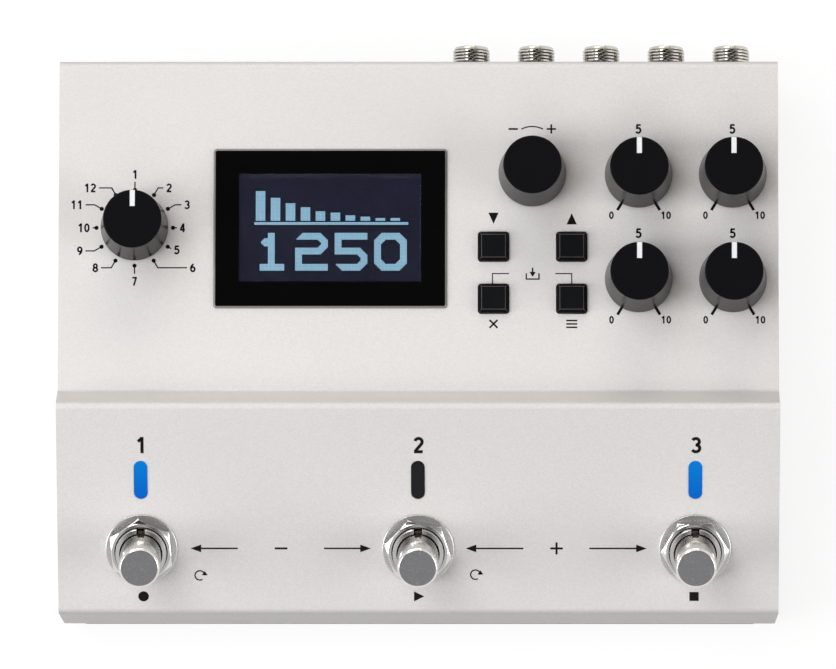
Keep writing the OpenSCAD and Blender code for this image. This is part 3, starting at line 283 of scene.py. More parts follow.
def figure(text, height, x, y, lean=0.5, weight=0.2):
    """Numerals drawn with even strokes of the share `weight` of their height, centred on y. Their
    middle lines lie in a box 0.42 wide and 0.82 high; the share `lean` of the width is left of x."""
    def ring(*oval):
        return bow(*oval, 0, 337.5, 16), True

    def arc(*oval):
        return bow(*oval), False

    def line(*points):
        return points, False

    step, side, middle_y = 0.72, 0.08, 0.41
    six = [ring(0.21, 0.25, 0.21, 0.25), arc(0.36, 0.25, 0.36, 0.57, 178, 98)]
    hook = np.vstack([bow(0.21, 0.60, 0.21, 0.22, 165, -28), [(0.02, 0.04)]])
    shapes = {
        "0": [ring(0.21, 0.41, 0.21, 0.41)],
        "1": [line((0.03, 0.62), (0.25, 0.83)), line((0.27, -0.09), (0.27, 0.91))],
        "2": [(hook, False), line((-0.06, 0.0), (0.46, 0.0))],
        "3": [arc(0.19, 0.62, 0.20, 0.20, 155, -95), arc(0.19, 0.21, 0.23, 0.21, 95, -155)],
        "4": [line((0.29, 0.86), (-0.01, 0.21)), line((-0.08, 0.19), (0.48, 0.19)),
              line((0.31, -0.09), (0.31, 0.91))],
        "5": [line((0.44, 0.82), (0.02, 0.82)), line((0.07, 0.86), (0.04, 0.40)),
              arc(0.18, 0.26, 0.24, 0.26, 128, -150)],
        "6": six,
        "7": [line((-0.04, 0.82), (0.46, 0.82)), line((0.41, 0.86), (0.13, -0.09))],
        "8": [ring(0.21, 0.62, 0.18, 0.20), ring(0.21, 0.21, 0.22, 0.21)],
        "9": [([0.42, 0.82] - np.asarray(path), closed) for path, closed in six]}
    wide = (step * len(text) - 0.14) * height
    start = np.array([x - lean * wide + side * height, y - middle_y * height])
    return [stroke(start + (np.asarray(path) + [step * place, 0]) * height, weight * height, closed)
            for place, sign in enumerate(text) for path, closed in shapes[sign]]


def on_deck(part):
    """Lays a patch on the upper panel."""
    return part[0] + [0, 0, deck_z], part[1]


def on_slope(part):
    """Lays a patch on the lower panel, where y runs down the slope from the ridge."""
    x, down, out = part[0].T
    y = ridge[1] - down * math.cos(slope) - out * math.sin(slope)
    z = ridge[2] - down * math.sin(slope) + out * math.cos(slope)
    return np.column_stack([x, y, z]), part[1]


def middle(name):
    """The middle of a CAD node seen from above, in millimetres."""
    low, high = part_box(name)
    return np.array([low.x + high.x, low.y + high.y]) * 500.0


# The mode dial: a dot and a leader at each hour, bent level towards its numeral at most hours.
marks = []
dial = middle("mode_knob")
dot_at, dot_r, bend_at, stub_at, stub_hours = 9.03, 0.5, 11.0, 9.95, (3, 4, 9)
hour_text, hour_gap = 2.1, 0.75
hour_rise = {0: 1.75, 4: -0.3, 6: -1.75}
leader_x = {1: 6.7, 2: 11.0, 5: 12.4, 7: -7.9, 8: -11.6, 10: -11.65, 11: -8.5}
for hour in range(12):
    turn = math.radians(90 - 30 * hour)
    way = np.array([math.cos(turn), math.sin(turn)])
    marks.append(disc(*(dial + dot_at * way), dot_r))
    path = [dial + dot_at * way, dial + (stub_at if hour in stub_hours else bend_at) * way]
    if hour in leader_x:
        path.append(np.array([dial[0] + leader_x[hour], path[-1][1]]))
    marks.append(stroke(path, line_w))
    side = 0 if hour in (0, 6) else 1 if hour < 6 else -1
    at = path[-1] + [side * hour_gap, hour_rise.get(hour, 0.0)]
    marks += figure(str(hour + 1), hour_text, *at, lean=(1 - side) / 2)

# The knobs: two end ticks with their numerals, a numeral above, and a turn sign at the value knob.
tick_turn, tick_start, tick_end, tick_w = math.radians(31.0), 6.6, 9.75, 0.66
end_at, end_shift, end_text = 11.5, np.array([0.5, 0.3]), 1.8
top_at, top_text = 11.05, 2.3
for name in ("feedback", "level", "tone", "depth"):
    at = middle(name + "_knob")
    for side in (-1, 1):
        way = np.array([side * math.sin(tick_turn), -math.cos(tick_turn)])
        marks.append(stroke([at + tick_start * way, at + tick_end * way], tick_w))
        marks += figure("10" if side > 0 else "0", end_text, *(at + end_at * way + end_shift * [side, 1]))
    marks += figure("5", top_text, at[0], at[1] + top_at)
at = middle("value_knob")
sign_x, sign_y, sign_half = 4.5, 10.75, 1.1
arc_y, arc_r, arc_start, arc_end = 5.95, 5.4, 118.0, 62.0
for x in (-sign_x, sign_x):
    marks.append(stroke([at + [x - sign_half, sign_y], at + [x + sign_half, sign_y]], sign_w))
marks.append(stroke([at + [sign_x, sign_y - sign_half], at + [sign_x, sign_y + sign_half]], sign_w))
marks.append(stroke(at + bow(0.0, arc_y, arc_r, arc_r, arc_start, arc_end), line_w))

# The buttons: arrows above, a store sign between two brackets, a cross and a list sign below.
down, up = middle("down_button"), middle("up_button")
arrow_half, arrow_low, arrow_high = 1.2, 5.3, 7.95
down_shift = np.array([0, 0.15])
down_arrow = [(-arrow_half, arrow_high), (0, arrow_low), (arrow_half, arrow_high)]
marks.append(film(down + down_shift + down_arrow))
marks.append(film(up + [(-arrow_half, arrow_low), (arrow_half, arrow_low), (0, arrow_high)]))
leave, edit = middle("exit_button"), middle("edit_button")
key_edge, bracket_y = 3.55, 5.98
left_x, left_end, right_end = -0.25, 3.65, -3.85
left_bracket = [leave + [left_x, key_edge], leave + [left_x, bracket_y], leave + [left_end, bracket_y]]
right_bracket = [edit + [right_end, bracket_y], edit + [0, bracket_y], edit + [0, key_edge]]
for bracket in (left_bracket, right_bracket):
    marks.append(stroke(bracket, fine_w))
half = (leave + edit) / 2 + [0, bracket_y]
tray_half, tray_low, tray_high, tray_w = 1.5, -1.3, 0.1, 0.32
tray = [(-tray_half, tray_high), (-tray_half, tray_low), (tray_half, tray_low), (tray_half, tray_high)]
marks.append(stroke(half + tray, tray_w))
head_half, head_low, head_high, stem_low, stem_high, stem_w = 0.75, -0.75, 0.4, 0.3, 1.4, 0.36
marks.append(stroke(half + [(0, stem_high), (0, stem_low)], stem_w))
marks.append(film(half + [(-head_half, head_high), (0, head_low), (head_half, head_high)]))
sign_below, cross_half, list_half, list_step = -6.0, 0.95, 1.3, 0.8
for k in (-1, 1):
    cross = [(-cross_half, sign_below - cross_half * k), (cross_half, sign_below + cross_half * k)]
    marks.append(stroke(leave + cross, sign_w))
for k in (-1, 0, 1):
    y = sign_below + list_step * k
    marks.append(stroke(edit + [(-list_half, y), (list_half, y)], stem_w))
ink, *_ = finish("printed_ink", rgb(9, 9, 10), (0.42, 0.55), tone=0.10, fine=9000.0, cloud=300.0, lift=0.001,
                 Specular_IOR_Level=0.15)
make("panel_print", [on_deck(m) for m in marks], ink, "chassis")

# The footswitches: a numeral above each, arrows and signs between them, signs below. On the slope y
# runs down, so the numerals are turned over about their middle line.
switch_x, switch_down = (-65.2, 0.0, 65.2), 35.7
number_down, number_shift, number_text, number_weight = 10.2, 0.15, 4.0, 0.19
marks = []
for number, x in enumerate(switch_x):
    marks += figure(str(number + 1), number_text, x + number_shift, number_down, weight=number_weight)
marks = [(p * [1, -1, 1] + [0, 2 * number_down, 0], [f[::-1] for f in faces]) for p, faces in marks]
head_l, head_half, shaft_in, shaft_w = 2.5, 0.95, 2.0, 0.38
for left, right, head in ((-53.64, -42.5, -1), (-22.2, -11.15, 1), (11.2, 24.8, -1), (40.3, 53.85, 1)):
    tip, back = (left, right) if head < 0 else (right, left)
    neck = tip - head * head_l
    marks.append(stroke([[tip - head * shaft_in, switch_down], [back, switch_down]], shaft_w))
    marks.append(film([[tip, switch_down], [neck, switch_down - head_half], [neck, switch_down + head_half]]))
minus_x, plus_x, bar_half, bar_w = -32.3, 32.6, 1.5, 0.5
for x in (minus_x, plus_x):
    marks.append(stroke([[x - bar_half, switch_down], [x + bar_half, switch_down]], bar_w))
marks.append(stroke([[plus_x, switch_down - bar_half], [plus_x, switch_down + bar_half]], bar_w))
sign_down, round_x, round_r = 47.6, -64.85, 1.25
play_left, play_right, stop_x, stop_half = -1.0, 1.4, 65.05, 1.1
marks.append(disc(round_x, sign_down, round_r))
marks.append(film([[play_left, sign_down - round_r], [play_right, sign_down],
                   [play_left, sign_down + round_r]]))
marks.append(film([[stop_x + stop_half * i, sign_down + stop_half * j]
                   for i, j in ((-1, -1), (1, -1), (1, 1), (-1, 1))]))
loop_r, loop_w, hook_half, hook_near, hook_far = 1.15, 0.32, 0.7, 0.05, 1.05
for x, y in ((-51.5, 42.4), (13.5, 42.2)):
    marks.append(stroke(bow(x, y, loop_r, loop_r, 60.0, 360.0, 31), loop_w))
    marks.append(film([[x + loop_r - hook_half, y - hook_near], [x + loop_r + hook_half, y - hook_near],
                       [x + loop_r, y - hook_far]]))
make("slope_print", [on_slope(m) for m in marks], ink, "chassis")


# Display: a black-backed acrylic window stuck over its cut-out, and behind it a blue dot-matrix
# glass, lit from behind, that shows a delay time and its dying echoes.
window_low, window_high = (np.array(c) * 1000.0 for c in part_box("display_window"))
wx, wy = (window_low + window_high)[:2] / 2
foot, top = window_low[2], window_high[2]
outer = (window_high - window_low)[:2] / 2
plug, plug_r = outer - 2.6, 0.3
vx, vy, view_half, view_r = -20.9, 21.25, np.array([21.45, 12.8]), 0.25


def rect_ring(rows, corner=9):
    """Rings of points round rounded rectangles, one for each (x, y, half width, half depth, corner
    radius, height): a quarter circle of the radius turns at each corner."""
    turn = (np.linspace(0, math.pi / 2, corner)[None, :] + np.arange(4)[:, None] * math.pi / 2).ravel()
    sign_x = np.repeat([1, -1, -1, 1], corner)
    sign_y = np.repeat([1, 1, -1, -1], corner)
    return np.stack([np.column_stack([x + sign_x * (w - r) + r * np.cos(turn),
                                      y + sign_y * (d - r) + r * np.sin(turn),
                                      np.full(len(turn), z)]) for x, y, w, d, r, z in rows])


def facing(tree, axis=(0.0, 0.0, 1.0)):
    """How far the surface faces along an axis: 1 square to it, 0 beside it."""
    normal = node(tree, "NewGeometry").outputs["Normal"]
    return node(tree, "VectorMath", {"operation": "DOT_PRODUCT"}, _0=normal, _1=axis).outputs["Value"]


def both(tree, one, other):
    """The product of two masks."""
    return node(tree, "Math", {"operation": "MULTIPLY"}, _0=one, _1=other).outputs[0]


def recolour(tree, shader, mask, colour):
    """Turns the surface to another colour where the mask is 1."""
    base = shader.inputs["Base Color"]
    mix = node(tree, "Mix", {"data_type": "RGBA"}, _0=mask, _6=base.links[0].from_socket, _7=colour)
    tree.links.new(mix.outputs[2], base)


def glow(tree, shader, mask, dim, bright):
    """Light of the surface itself, from the dim colour at 0 of the mask to the bright one at 1."""
    mix = node(tree, "Mix", {"data_type": "RGBA"}, _0=mask, _6=dim, _7=bright)
    tree.links.new(mix.outputs[2], shader.inputs["Emission Color"])


# The bezel's edge from the panel up, as (inset from the outline, corner radius, height).
edge = [(0.02, 0.78, deck_z), (0.0, 0.8, deck_z + 0.02), (0.0, 0.8, top - 0.45), (0.05, 0.75, top - 0.4),
        (0.42, 0.45, top - 0.03), (0.5, 0.4, top), (0.6, 0.35, top)]
rings = [(wx, wy, *plug, plug_r, z) for z in (foot, deck_z)]
rings += [(wx, wy, *(outer - inset), r, z) for inset, r, z in edge]
rings += [(vx, vy, *view_half, view_r, z) for z in (top, foot)]
bezel = loft(rect_ring(rings), ring=True)
black, tree, shader, _ = finish("window_black", rgb(6, 6, 7), (0.05, 0.09), tone=0.15, fine=2500.0,
                                cloud=90.0, lift=0.0003)
# Painted highlight: the bevel between the window's flat top and its chamfer is coloured light grey, standing
# in for the light it catches.
up = facing(tree)
painted_bevel_highlight = both(tree, spread(tree, up, 0.2, 0.5), spread(tree, up, 0.98, 0.8, 0.8))
recolour(tree, shader, painted_bevel_highlight, rgb(150, 149, 146))
make("window_bezel", [bezel], black, "chassis", ["display_window"])
clear, *_ = finish("window_clear", rgb(236, 240, 244), (0.0, 0.02), tone=0.01, fine=2500.0, cloud=60.0,
                   lift=0.0001, Transmission_Weight=1.0, IOR=1.2)
pane_t, pane_gap, pane_break = 0.75, 0.02, 0.03
edge = [(pane_gap, top - pane_t), (pane_gap, top - pane_break), (pane_gap + pane_break, top)]
pane = loft(rect_ring([(vx, vy, *(view_half - inset), view_r, z) for inset, z in edge]))
make("window_pane", [pane], clear, "chassis", ["display_window"])

screen, tree, shader, noise = finish("display_glass", rgb(14, 14, 22), (0.12, 0.2), tone=0.05, fine=3000.0,
                                     cloud=120.0, lift=0.0003, Emission_Strength=1.0)
glow(tree, shader, noise.outputs["Cloud"], rgb(23, 22, 36), rgb(27, 26, 42))
dress(screen, "display_glass")

# The lit dots: four broad numerals, and above them a base line with ten bars, each 0.76 of the last.
pitch, columns, rows, dot_share, dot_h, dot_shift = 0.322, 128, 74, 0.9, 0.02, 0.15
digit_w, digit_h, digit_step, thick, corner_cut = 24, 28, 29, 5, 5
digit_left, digit_row = 9, 40
echo_step, echo_w, echo_row, echo_tall, echo_share = 11, 7, 31, 22, 0.76
y, x = np.mgrid[0:digit_h, 0:digit_w]


def bar(x0, x1, y0, y1, cut=0):
    """The dots of a numeral's box that lie in a rectangle whose corners are cut off at 45 degrees:
    the distances to the nearest side and to the nearest end add up to the cut or more."""
    inside = (x >= x0) & (x < x1) & (y >= y0) & (y < y1)
    return inside & (np.minimum(x - x0, x1 - 1 - x) + np.minimum(y - y0, y1 - 1 - y) >= cut)


inner_w, inner_h, waist = digit_w - thick, digit_h - thick, (digit_h - thick) // 2
open_side = -9
upper = bar(0, digit_w, 0, waist + thick, corner_cut) & ~bar(open_side, inner_w, thick, waist, 2)
lower = bar(0, digit_w, waist, digit_h, corner_cut) & ~bar(open_side, inner_w, waist + thick, inner_h, 2)
numerals = {
    "0": bar(0, digit_w, 0, digit_h, corner_cut) & ~bar(thick, inner_w, thick, inner_h, 3),
    "1": bar(9, 9 + thick, 0, digit_h) | bar(3, 12, 4, 10, 3) | bar(3, 21, inner_h, digit_h),
    "2": upper | bar(0, thick, waist, digit_h) | bar(0, digit_w, inner_h, digit_h),
    "5": lower | bar(0, thick, 0, waist + thick) | bar(0, digit_w, 0, thick)}
lit = np.zeros((rows, columns), bool)
for number, sign in enumerate("1250"):
    at = digit_left + number * digit_step
    lit[digit_row:digit_row + digit_h, at:at + digit_w] = numerals[sign]
for echo in range(10):
    tall = max(2, round(echo_tall * echo_share ** echo))
    at = digit_left + echo * echo_step
    lit[echo_row - tall:echo_row, at:at + echo_w] = True
lit[echo_row + 1:echo_row + 3, digit_left - 1:columns - 7] = True
row, column = np.nonzero(lit)
glass_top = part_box("display_glass")[1].z * 1000.0
left = vx - columns * pitch / 2 + dot_shift
rear = vy + rows * pitch / 2 + dot_shift
corner = np.array([[0, 0, 0], [1, 0, 0], [1, 1, 0], [0, 1, 0],
                   [0, 0, 1], [1, 0, 1], [1, 1, 1], [0, 1, 1]], float)
cube = np.array([[3, 2, 1, 0], [4, 5, 6, 7], [0, 1, 5, 4], [1, 2, 6, 5], [2, 3, 7, 6], [3, 0, 4, 7]])
spot = np.column_stack([left + column * pitch, rear - (row + 1) * pitch, np.full(len(row), glass_top)])
dot_size = np.array([pitch * dot_share, pitch * dot_share, dot_h])
points = (spot[:, None, :] + corner[None] * dot_size).reshape(-1, 3)
faces = (cube[None] + 8 * np.arange(len(row))[:, None, None]).reshape(-1, 4).tolist()
dots, tree, shader, noise = finish("display_dots", rgb(40, 56, 66), (0.2, 0.3), tone=0.05, fine=3000.0,
                                   cloud=150.0, lift=0.0002, Emission_Strength=1.0)
glow(tree, shader, noise.outputs["Cloud"], rgb(150, 194, 216), rgb(158, 202, 224))
make("display_dots", [(points, faces)], dots, "chassis")
tin, *_ = finish("frame_steel", rgb(190, 191, 194), (0.28, 0.42), 1.0, tone=0.08, fine=2500.0, cloud=120.0)
dress(tin, "display_frame")


# Knobs: moulded black plastic pushed on flatted shafts. The skirt has a satin gloss that shows the
# panel, the flat top is finely matted, and all but the value knob have a groove of white paint.
knob_names = ["mode", "value", "feedback", "level", "tone", "depth"]


def roughen(tree, shader, noise, mask, low, high):
    """Where the mask is 1, the roughness runs between two other values with the fine grain."""
    matt = node(tree, "MapRange", None, Value=noise.outputs["Fine"], To_Min=low, To_Max=high).outputs[0]
    rough = shader.inputs["Roughness"]
    mix = node(tree, "Mix", {"data_type": "FLOAT"}, _0=mask, _2=rough.links[0].from_socket, _3=matt)
    tree.links.new(mix.outputs[0], rough)


knob, tree, shader, noise = finish("knob_plastic", rgb(7, 7, 10), (0.2, 0.27), tone=0.12, fine=6000.0,
                                   cloud=150.0, lift=0.001, Specular_IOR_Level=0.075)
roughen(tree, shader, noise, spread(tree, facing(tree), 0.75, 0.95), 0.55, 0.7)
dress(knob, *[name + "_knob" for name in knob_names])

white, *_ = finish("pointer_paint", rgb(238, 240, 242), (0.4, 0.55), tone=0.02, fine=7000.0, cloud=400.0,
                   lift=0.002)
rim, inner_end, pointer_half = 6.78, 2.98, 0.6
paint_low, paint_high = -0.26, -0.07
across = np.linspace(-pointer_half, pointer_half, 9)
rim_end = np.column_stack([across, np.sqrt(rim ** 2 - across ** 2)])[::-1]
pointer = np.vstack([rim_end, [[-pointer_half, inner_end], [pointer_half, inner_end]]])
for name in knob_names:
    if name == "value":
        continue
    outline = pointer + middle(name + "_knob")
    knob_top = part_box(name + "_knob")[1].z * 1000.0
    groove = loft([np.column_stack([outline, np.full(len(outline), knob_top + z)])
                   for z in (paint_low, paint_high)])
    make(name + "_pointer", [groove], white, name + "_control")
steel, *_ = finish("shaft_metal", rgb(188, 188, 190), (0.25, 0.4), 1.0, tone=0.06, fine=5000.0, cloud=200.0)
dress(steel, *[name + "_shaft" for name in knob_names])
zinc, *_ = finish("control_metal", rgb(150, 152, 152), (0.35, 0.5), 1.0, tone=0.08, fine=2500.0, cloud=150.0)
dress(zinc, "value_encoder", "potentiometers")


# Buttons: moulded black caps whose broad chamfer is painted darker as shade and whose inner edge carries a
# painted highlight, held under the panel by a flange and pressing small push switches on the panel board.
button_names = ["down_button", "up_button", "exit_button", "edit_button", "power_button"]
key, tree, shader, _ = finish("key_plastic", rgb(16, 17, 19), (0.3, 0.42), tone=0.12, fine=5000.0,
                              cloud=200.0, lift=0.002, Specular_IOR_Level=0.1)
up = facing(tree)
# Painted shade: the chamfer, which faces sideways, is coloured nearly black.
recolour(tree, shader, spread(tree, up, 0.9, 0.76), rgb(3, 3, 4))
# Painted highlight: the narrow bevel between the chamfer and the top face is coloured light grey.
painted_rim_highlight = both(tree, spread(tree, up, 0.74, 0.86), spread(tree, up, 0.999, 0.95))
recolour(tree, shader, painted_rim_highlight, rgb(120, 121, 126))
dress(key, *button_names)
soften(0.2, *button_names)
mould, *_ = finish("socket_plastic", rgb(24, 24, 26), (0.4, 0.55), tone=0.12, fine=3500.0, cloud=150.0,
                   lift=0.003)
dress(mould, "push_switches", "mode_switch", "midi_sockets", "power_inlet", "power_switch",
      "main_board_parts")


# Footswitches: nickel-plated bushings held by a washer and a chromed nut, with a steel foot cap that
# slides in the bushing on a coil spring. The cap's face is blasted and lapped grey.
sides = ("left", "middle", "right")
out = np.array([0.0, -math.sin(slope), math.cos(slope)])
uphill = np.array([0.0, math.cos(slope), math.sin(slope)])
washer_t, nut_t, nut_af, nut_sink, nut_turns = 0.8, 2.5, 14.0, 0.22, (94.7, 108.0, 121.0)
bushing_r, nut_gap, thread_shade_heights, thread_pitch = 6.0, 0.05, (3.4, 4.1), 0.75

nickel, tree, shader, _ = finish("switch_nickel", rgb(222, 220, 217), (0.1, 0.18), 1.0, tone=0.05,
                                 fine=3500.0, cloud=200.0, lift=0.001)
rise = node(tree, "VectorMath", {"operation": "DOT_PRODUCT"}, _0=here(tree), _1=tuple(out)).outputs["Value"]
# Painted shade: the bushing's thread between the nut and the bushing's top is coloured dark, fading out
# upwards.
shade_full_below, shade_gone_above = ((ridge @ out + height) * 0.001 for height in thread_shade_heights)
recolour(tree, shader, spread(tree, rise, shade_gone_above, shade_full_below), rgb(112, 106, 99))
turns = node(tree, "Math", {"operation": "PINGPONG"}, _0=rise, _1=thread_pitch / 2 * 0.001).outputs[0]
lean = node(tree, "Math", {"operation": "ABSOLUTE"}, _0=facing(tree, tuple(out))).outputs[0]
thread = node(tree, "Bump", None, Strength=1.0, Distance=1.0,
              Height=both(tree, turns, spread(tree, lean, 0.3, 0.1)),
              Normal=shader.inputs["Normal"].links[0].from_socket)
tree.links.new(thread.outputs[0], shader.inputs["Normal"])
dress(nickel, *[side + "_footswitch" for side in sides])
soften(0.3, *[side + "_footswitch" for side in sides])
washer, *_ = finish("washer_nickel", rgb(206, 205, 202), (0.22, 0.34), 1.0, tone=0.06, fine=3000.0,
                    cloud=180.0, lift=0.002)
dress(washer, "footswitch_washers")
soften(0.2, "footswitch_washers")


def hex_nut(across, thick, bore, turn, sink, count=180):
    """A hexagon nut on its own axis: the skin runs up the bore, out over the countersink and the flat
    face, down the cone that trims the corners and down the flats. A flat's radius is half the width
    over the cosine of the angle from its middle, and the cone's radius cuts it short near the face."""
    angle = np.arange(count) * 2 * math.pi / count
    flat = across / 2 / np.cos((angle - math.radians(turn)) % (math.pi / 3) - math.pi / 6)
    face, steep, break_t, break_r = across * 0.508, 1.9, 0.12, 0.18
    cone = np.linspace(0.0, 0.5, 8)
    radius = [np.full(count, bore), np.full(count, bore), np.full(count, bore + sink)]
    radius += [np.minimum(flat - break_r, face - break_r)]
    radius += [np.minimum(flat, face + steep * drop) for drop in cone]
    radius += [flat, flat - break_t]
    height = [0.0, thick - sink, thick, thick, *(thick - break_t - cone), break_t, 0.0]
    return loft(np.stack([np.column_stack([r * np.cos(angle), r * np.sin(angle), np.full(count, h)])
                          for r, h in zip(radius, height)]), ring=True)


chrome, *_ = finish("chrome", rgb(212, 211, 210), (0.08, 0.16), 1.0, tone=0.04, fine=2500.0, cloud=250.0,
                    lift=0.0006)
nuts = []
for x, turn in zip(switch_x, nut_turns):
    points, faces = hex_nut(nut_af, nut_t, bushing_r + nut_gap, turn, nut_sink)
    nuts.append(on_slope((points * [1, -1, 1] + [x, switch_down, washer_t], faces)))
make("footswitch_hexagons", nuts, chrome, "chassis", ["footswitch_nuts"], sharp=20.0)

cap, tree, shader, noise = finish("plunger_metal", rgb(216, 213, 209), (0.07, 0.13), 1.0, tone=0.04,
                                  fine=5000.0, cloud=500.0, lift=0.002)
cap_face = spread(tree, facing(tree, tuple(out)), 0.9, 0.98)
roughen(tree, shader, noise, cap_face, 0.34, 0.5)
speck = node(tree, "TexVoronoi", None, Vector=here(tree), Scale=4200.0).outputs["Color"]
speck = spread(tree, node(tree, "SeparateColor", None, Color=speck).outputs[0], 0.86, 1.0, 0.2)
grey = node(tree, "Mix", {"data_type": "RGBA"}, _0=speck, _6=rgb(138, 138, 141), _7=rgb(214, 214, 214))
recolour(tree, shader, cap_face, grey.outputs[2])
dress(cap, *[side + "_plunger" for side in sides])
soften(0.12, *[side + "_plunger" for side in sides])

spring_steel, *_ = finish("spring_steel", rgb(176, 176, 178), (0.2, 0.35), 1.0, tone=0.06, fine=4000.0,
                          cloud=300.0)
spring_foot, spring_r, spring_h, spring_turns, wire_r, spring_keep = 17.45, 3.8, 10.0, 5, 0.4, 0.81
for side, x in zip(sides, switch_x):
    # The wire's circle is carried along a helix about the switch's own axis.
    centre = ridge + [x, 0, 0] - uphill * switch_down
    along = np.linspace(0.0, 1.0, 161)[:, None]
    round_wire = np.linspace(0.0, 2 * math.pi, 11)[None, :-1]
    turn = 2 * math.pi * spring_turns * along
    radius = spring_r + wire_r * np.cos(round_wire)
    rise = -spring_foot + wire_r + spring_h * along + wire_r * np.sin(round_wire)
    coil = centre + (radius * np.cos(turn))[..., None] * [1, 0, 0]
    coil = coil + (radius * np.sin(turn))[..., None] * uphill + rise[..., None] * out
    wire = make(side + "_coil", [loft(coil)], spring_steel, "chassis", [side + "_spring"])
    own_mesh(wire)


# Indicators: diffusing lenses of moulded plastic, set flush in the lower panel over light chips on
# their own board. The outer two are lit blue, brighter at the upper end, and the middle one is dark.
lens_low_z, lens_high_z = 0.0462, 0.0502
lit_lens, tree, shader, _ = finish("lamp_lit", rgb(0, 16, 44), (0.2, 0.3), tone=0.04, fine=3000.0,
                                   cloud=200.0, lift=0.001, Emission_Strength=1.0, Specular_IOR_Level=0.08)
height = node(tree, "SeparateXYZ", None, Vector=here(tree)).outputs[2]
glow(tree, shader, spread(tree, height, lens_low_z, lens_high_z), rgb(0, 92, 196), rgb(0, 122, 208))
dress(lit_lens, "left_indicator", "right_indicator")
dark_lens, *_ = finish("lamp_dark", rgb(18, 17, 22), (0.2, 0.3), tone=0.06, fine=3000.0, cloud=200.0,
                       lift=0.001, Specular_IOR_Level=0.25)
dress(dark_lens, "middle_indicator")
chip, *_ = finish("chip_white", rgb(225, 222, 205), (0.4, 0.5), tone=0.04, fine=4000.0, cloud=300.0)
dress(chip, "indicator_chips")


# Jacks: quarter-inch sockets with moulded bodies on the main board and nickel-plated brass bushings
# that stand out through the rear wall, threaded for their nuts.
jack_names = ["input_jack_a", "input_jack_b", "output_jack_a", "output_jack_b", "control_jack"]
jack_top, block_l, bore_r, bore_l = 6.4, 28.0, 3.25, 33.0
crest_r, root_r, jack_pitch, thread_lap = 4.45, 4.0, 0.75, 0.1
jack_nut_af, jack_nut_bore, jack_nut_sink, jack_nut_turn = 12.0, 4.5, 0.35, 17.0


def jack_body(x, z, wide, low, back, end):
    """The moulded block: its skin runs from the bore's floor out along the bore, over the front face,
    back along the four sides and over the rear face; a ring turns from a circle into a square."""
    face, bore_end = back + block_l, end - bore_l
    count, break_l, break_share, pole = 64, 0.3, 0.97, 1e-6
    turn = np.arange(count) * 2 * math.pi / count
    round_xy = np.column_stack([np.cos(turn), np.sin(turn)])
    square_xy = round_xy / np.abs(round_xy).max(1)[:, None]
    tall = np.where(square_xy[:, 1] > 0, jack_top, low)
    block = square_xy * np.column_stack([np.full(count, wide / 2), tall])
    rings = [(round_xy * pole, bore_end), (round_xy * bore_r, bore_end), (round_xy * bore_r, face),
             (block * break_share, face), (block, face - break_l), (block, back + break_l),
             (block * break_share, back), (round_xy * pole, back)]
    return loft([np.column_stack([x + xy[:, 0], np.full(count, y), z + xy[:, 1]]) for xy, y in rings])


def jack_thread(x, z, start, end):
    """The threaded bushing: its skin runs out along the bore, over the chamfered end and back along a
    screw thread, whose radius is a triangle wave of the distance along the axis less the turn. The
    wave is clipped to flat crests and roots, and near the end it fades into a plain neck."""
    around, along_count = 72, 220
    lip, edge, neck, neck_l = 0.3, 0.08, 0.1, 0.32
    first, fade_at, fade_l, steep, flat = 0.55, 0.6, 0.4, 2.2, 0.1
    turn = np.linspace(0, 2 * math.pi, around + 1)[:-1]
    y = np.linspace(end - first, start, along_count)[:, None]
    wave = np.abs(((y / jack_pitch - turn / (2 * math.pi)) % 1.0) * 2 - 1)
    thread = root_r + (crest_r - root_r) * np.clip(wave * steep - flat, 0, 1)
    fade = np.clip((end - fade_at - y) / fade_l, 0, 1)
    thread = thread * fade + (root_r + neck) * (1 - fade)
    mouth_r = [bore_r, bore_r, bore_r + lip, root_r - lip, root_r - edge, root_r + neck]
    mouth_y = [start, end - lip, end, end, end - edge, end - neck_l]
    radius = np.vstack([np.full((1, around), r) for r in mouth_r] + [thread, np.full((1, around), bore_r)])
    along = np.concatenate([mouth_y, y[:, 0], [start]])[:, None]
    along = np.broadcast_to(along, radius.shape)
    return loft(np.stack([x + radius * np.cos(turn), along, z + radius * np.sin(turn)], -1), ring=True)


brass, tree, shader, _ = finish("jack_nickel", rgb(205, 201, 194), (0.04, 0.09), 1.0, tone=0.06, fine=4000.0,
                                cloud=350.0, lift=0.0006)
# Painted shade: the hollows of the thread, where the surface is concave, are coloured dark.
painted_root_shade = spread(tree, node(tree, "NewGeometry").outputs["Pointiness"], 0.5, 0.44)
recolour(tree, shader, painted_root_shade, rgb(62, 58, 53))
nut_low, nut_high = (np.array(c) * 1000.0 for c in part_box("jack_nuts"))
nuts = []
for number, name in enumerate(jack_names):
    low, high = (np.array(c) * 1000.0 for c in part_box(name))
    x, z = (low[0] + high[0]) / 2, high[2] - jack_top
    body = jack_body(x, z, high[0] - low[0], z - low[2], low[1], high[1])
    make(name + "_body", [body], mould, "chassis", [name])
    screw = jack_thread(x, z, low[1] + block_l - thread_lap, high[1])
    make(name + "_bushing", [screw], brass, "chassis", [name], sharp=50.0)
    points, faces = hex_nut(jack_nut_af, nut_high[1] - nut_low[1], jack_nut_bore, jack_nut_turn * number,
                            jack_nut_sink)
    nuts.append((points[:, [0, 2, 1]] + [x, nut_low[1], z], faces))
make("jack_hexagons", nuts, chrome, "chassis", ["jack_nuts"], sharp=20.0)


# Data, computer and power sockets: moulded blocks and a tin-plated shell on the main board, which
# reach through cut-outs of the rear wall.
dress(tin, "usb_port")
soften(0.12, "usb_port", "midi_sockets", "power_inlet")


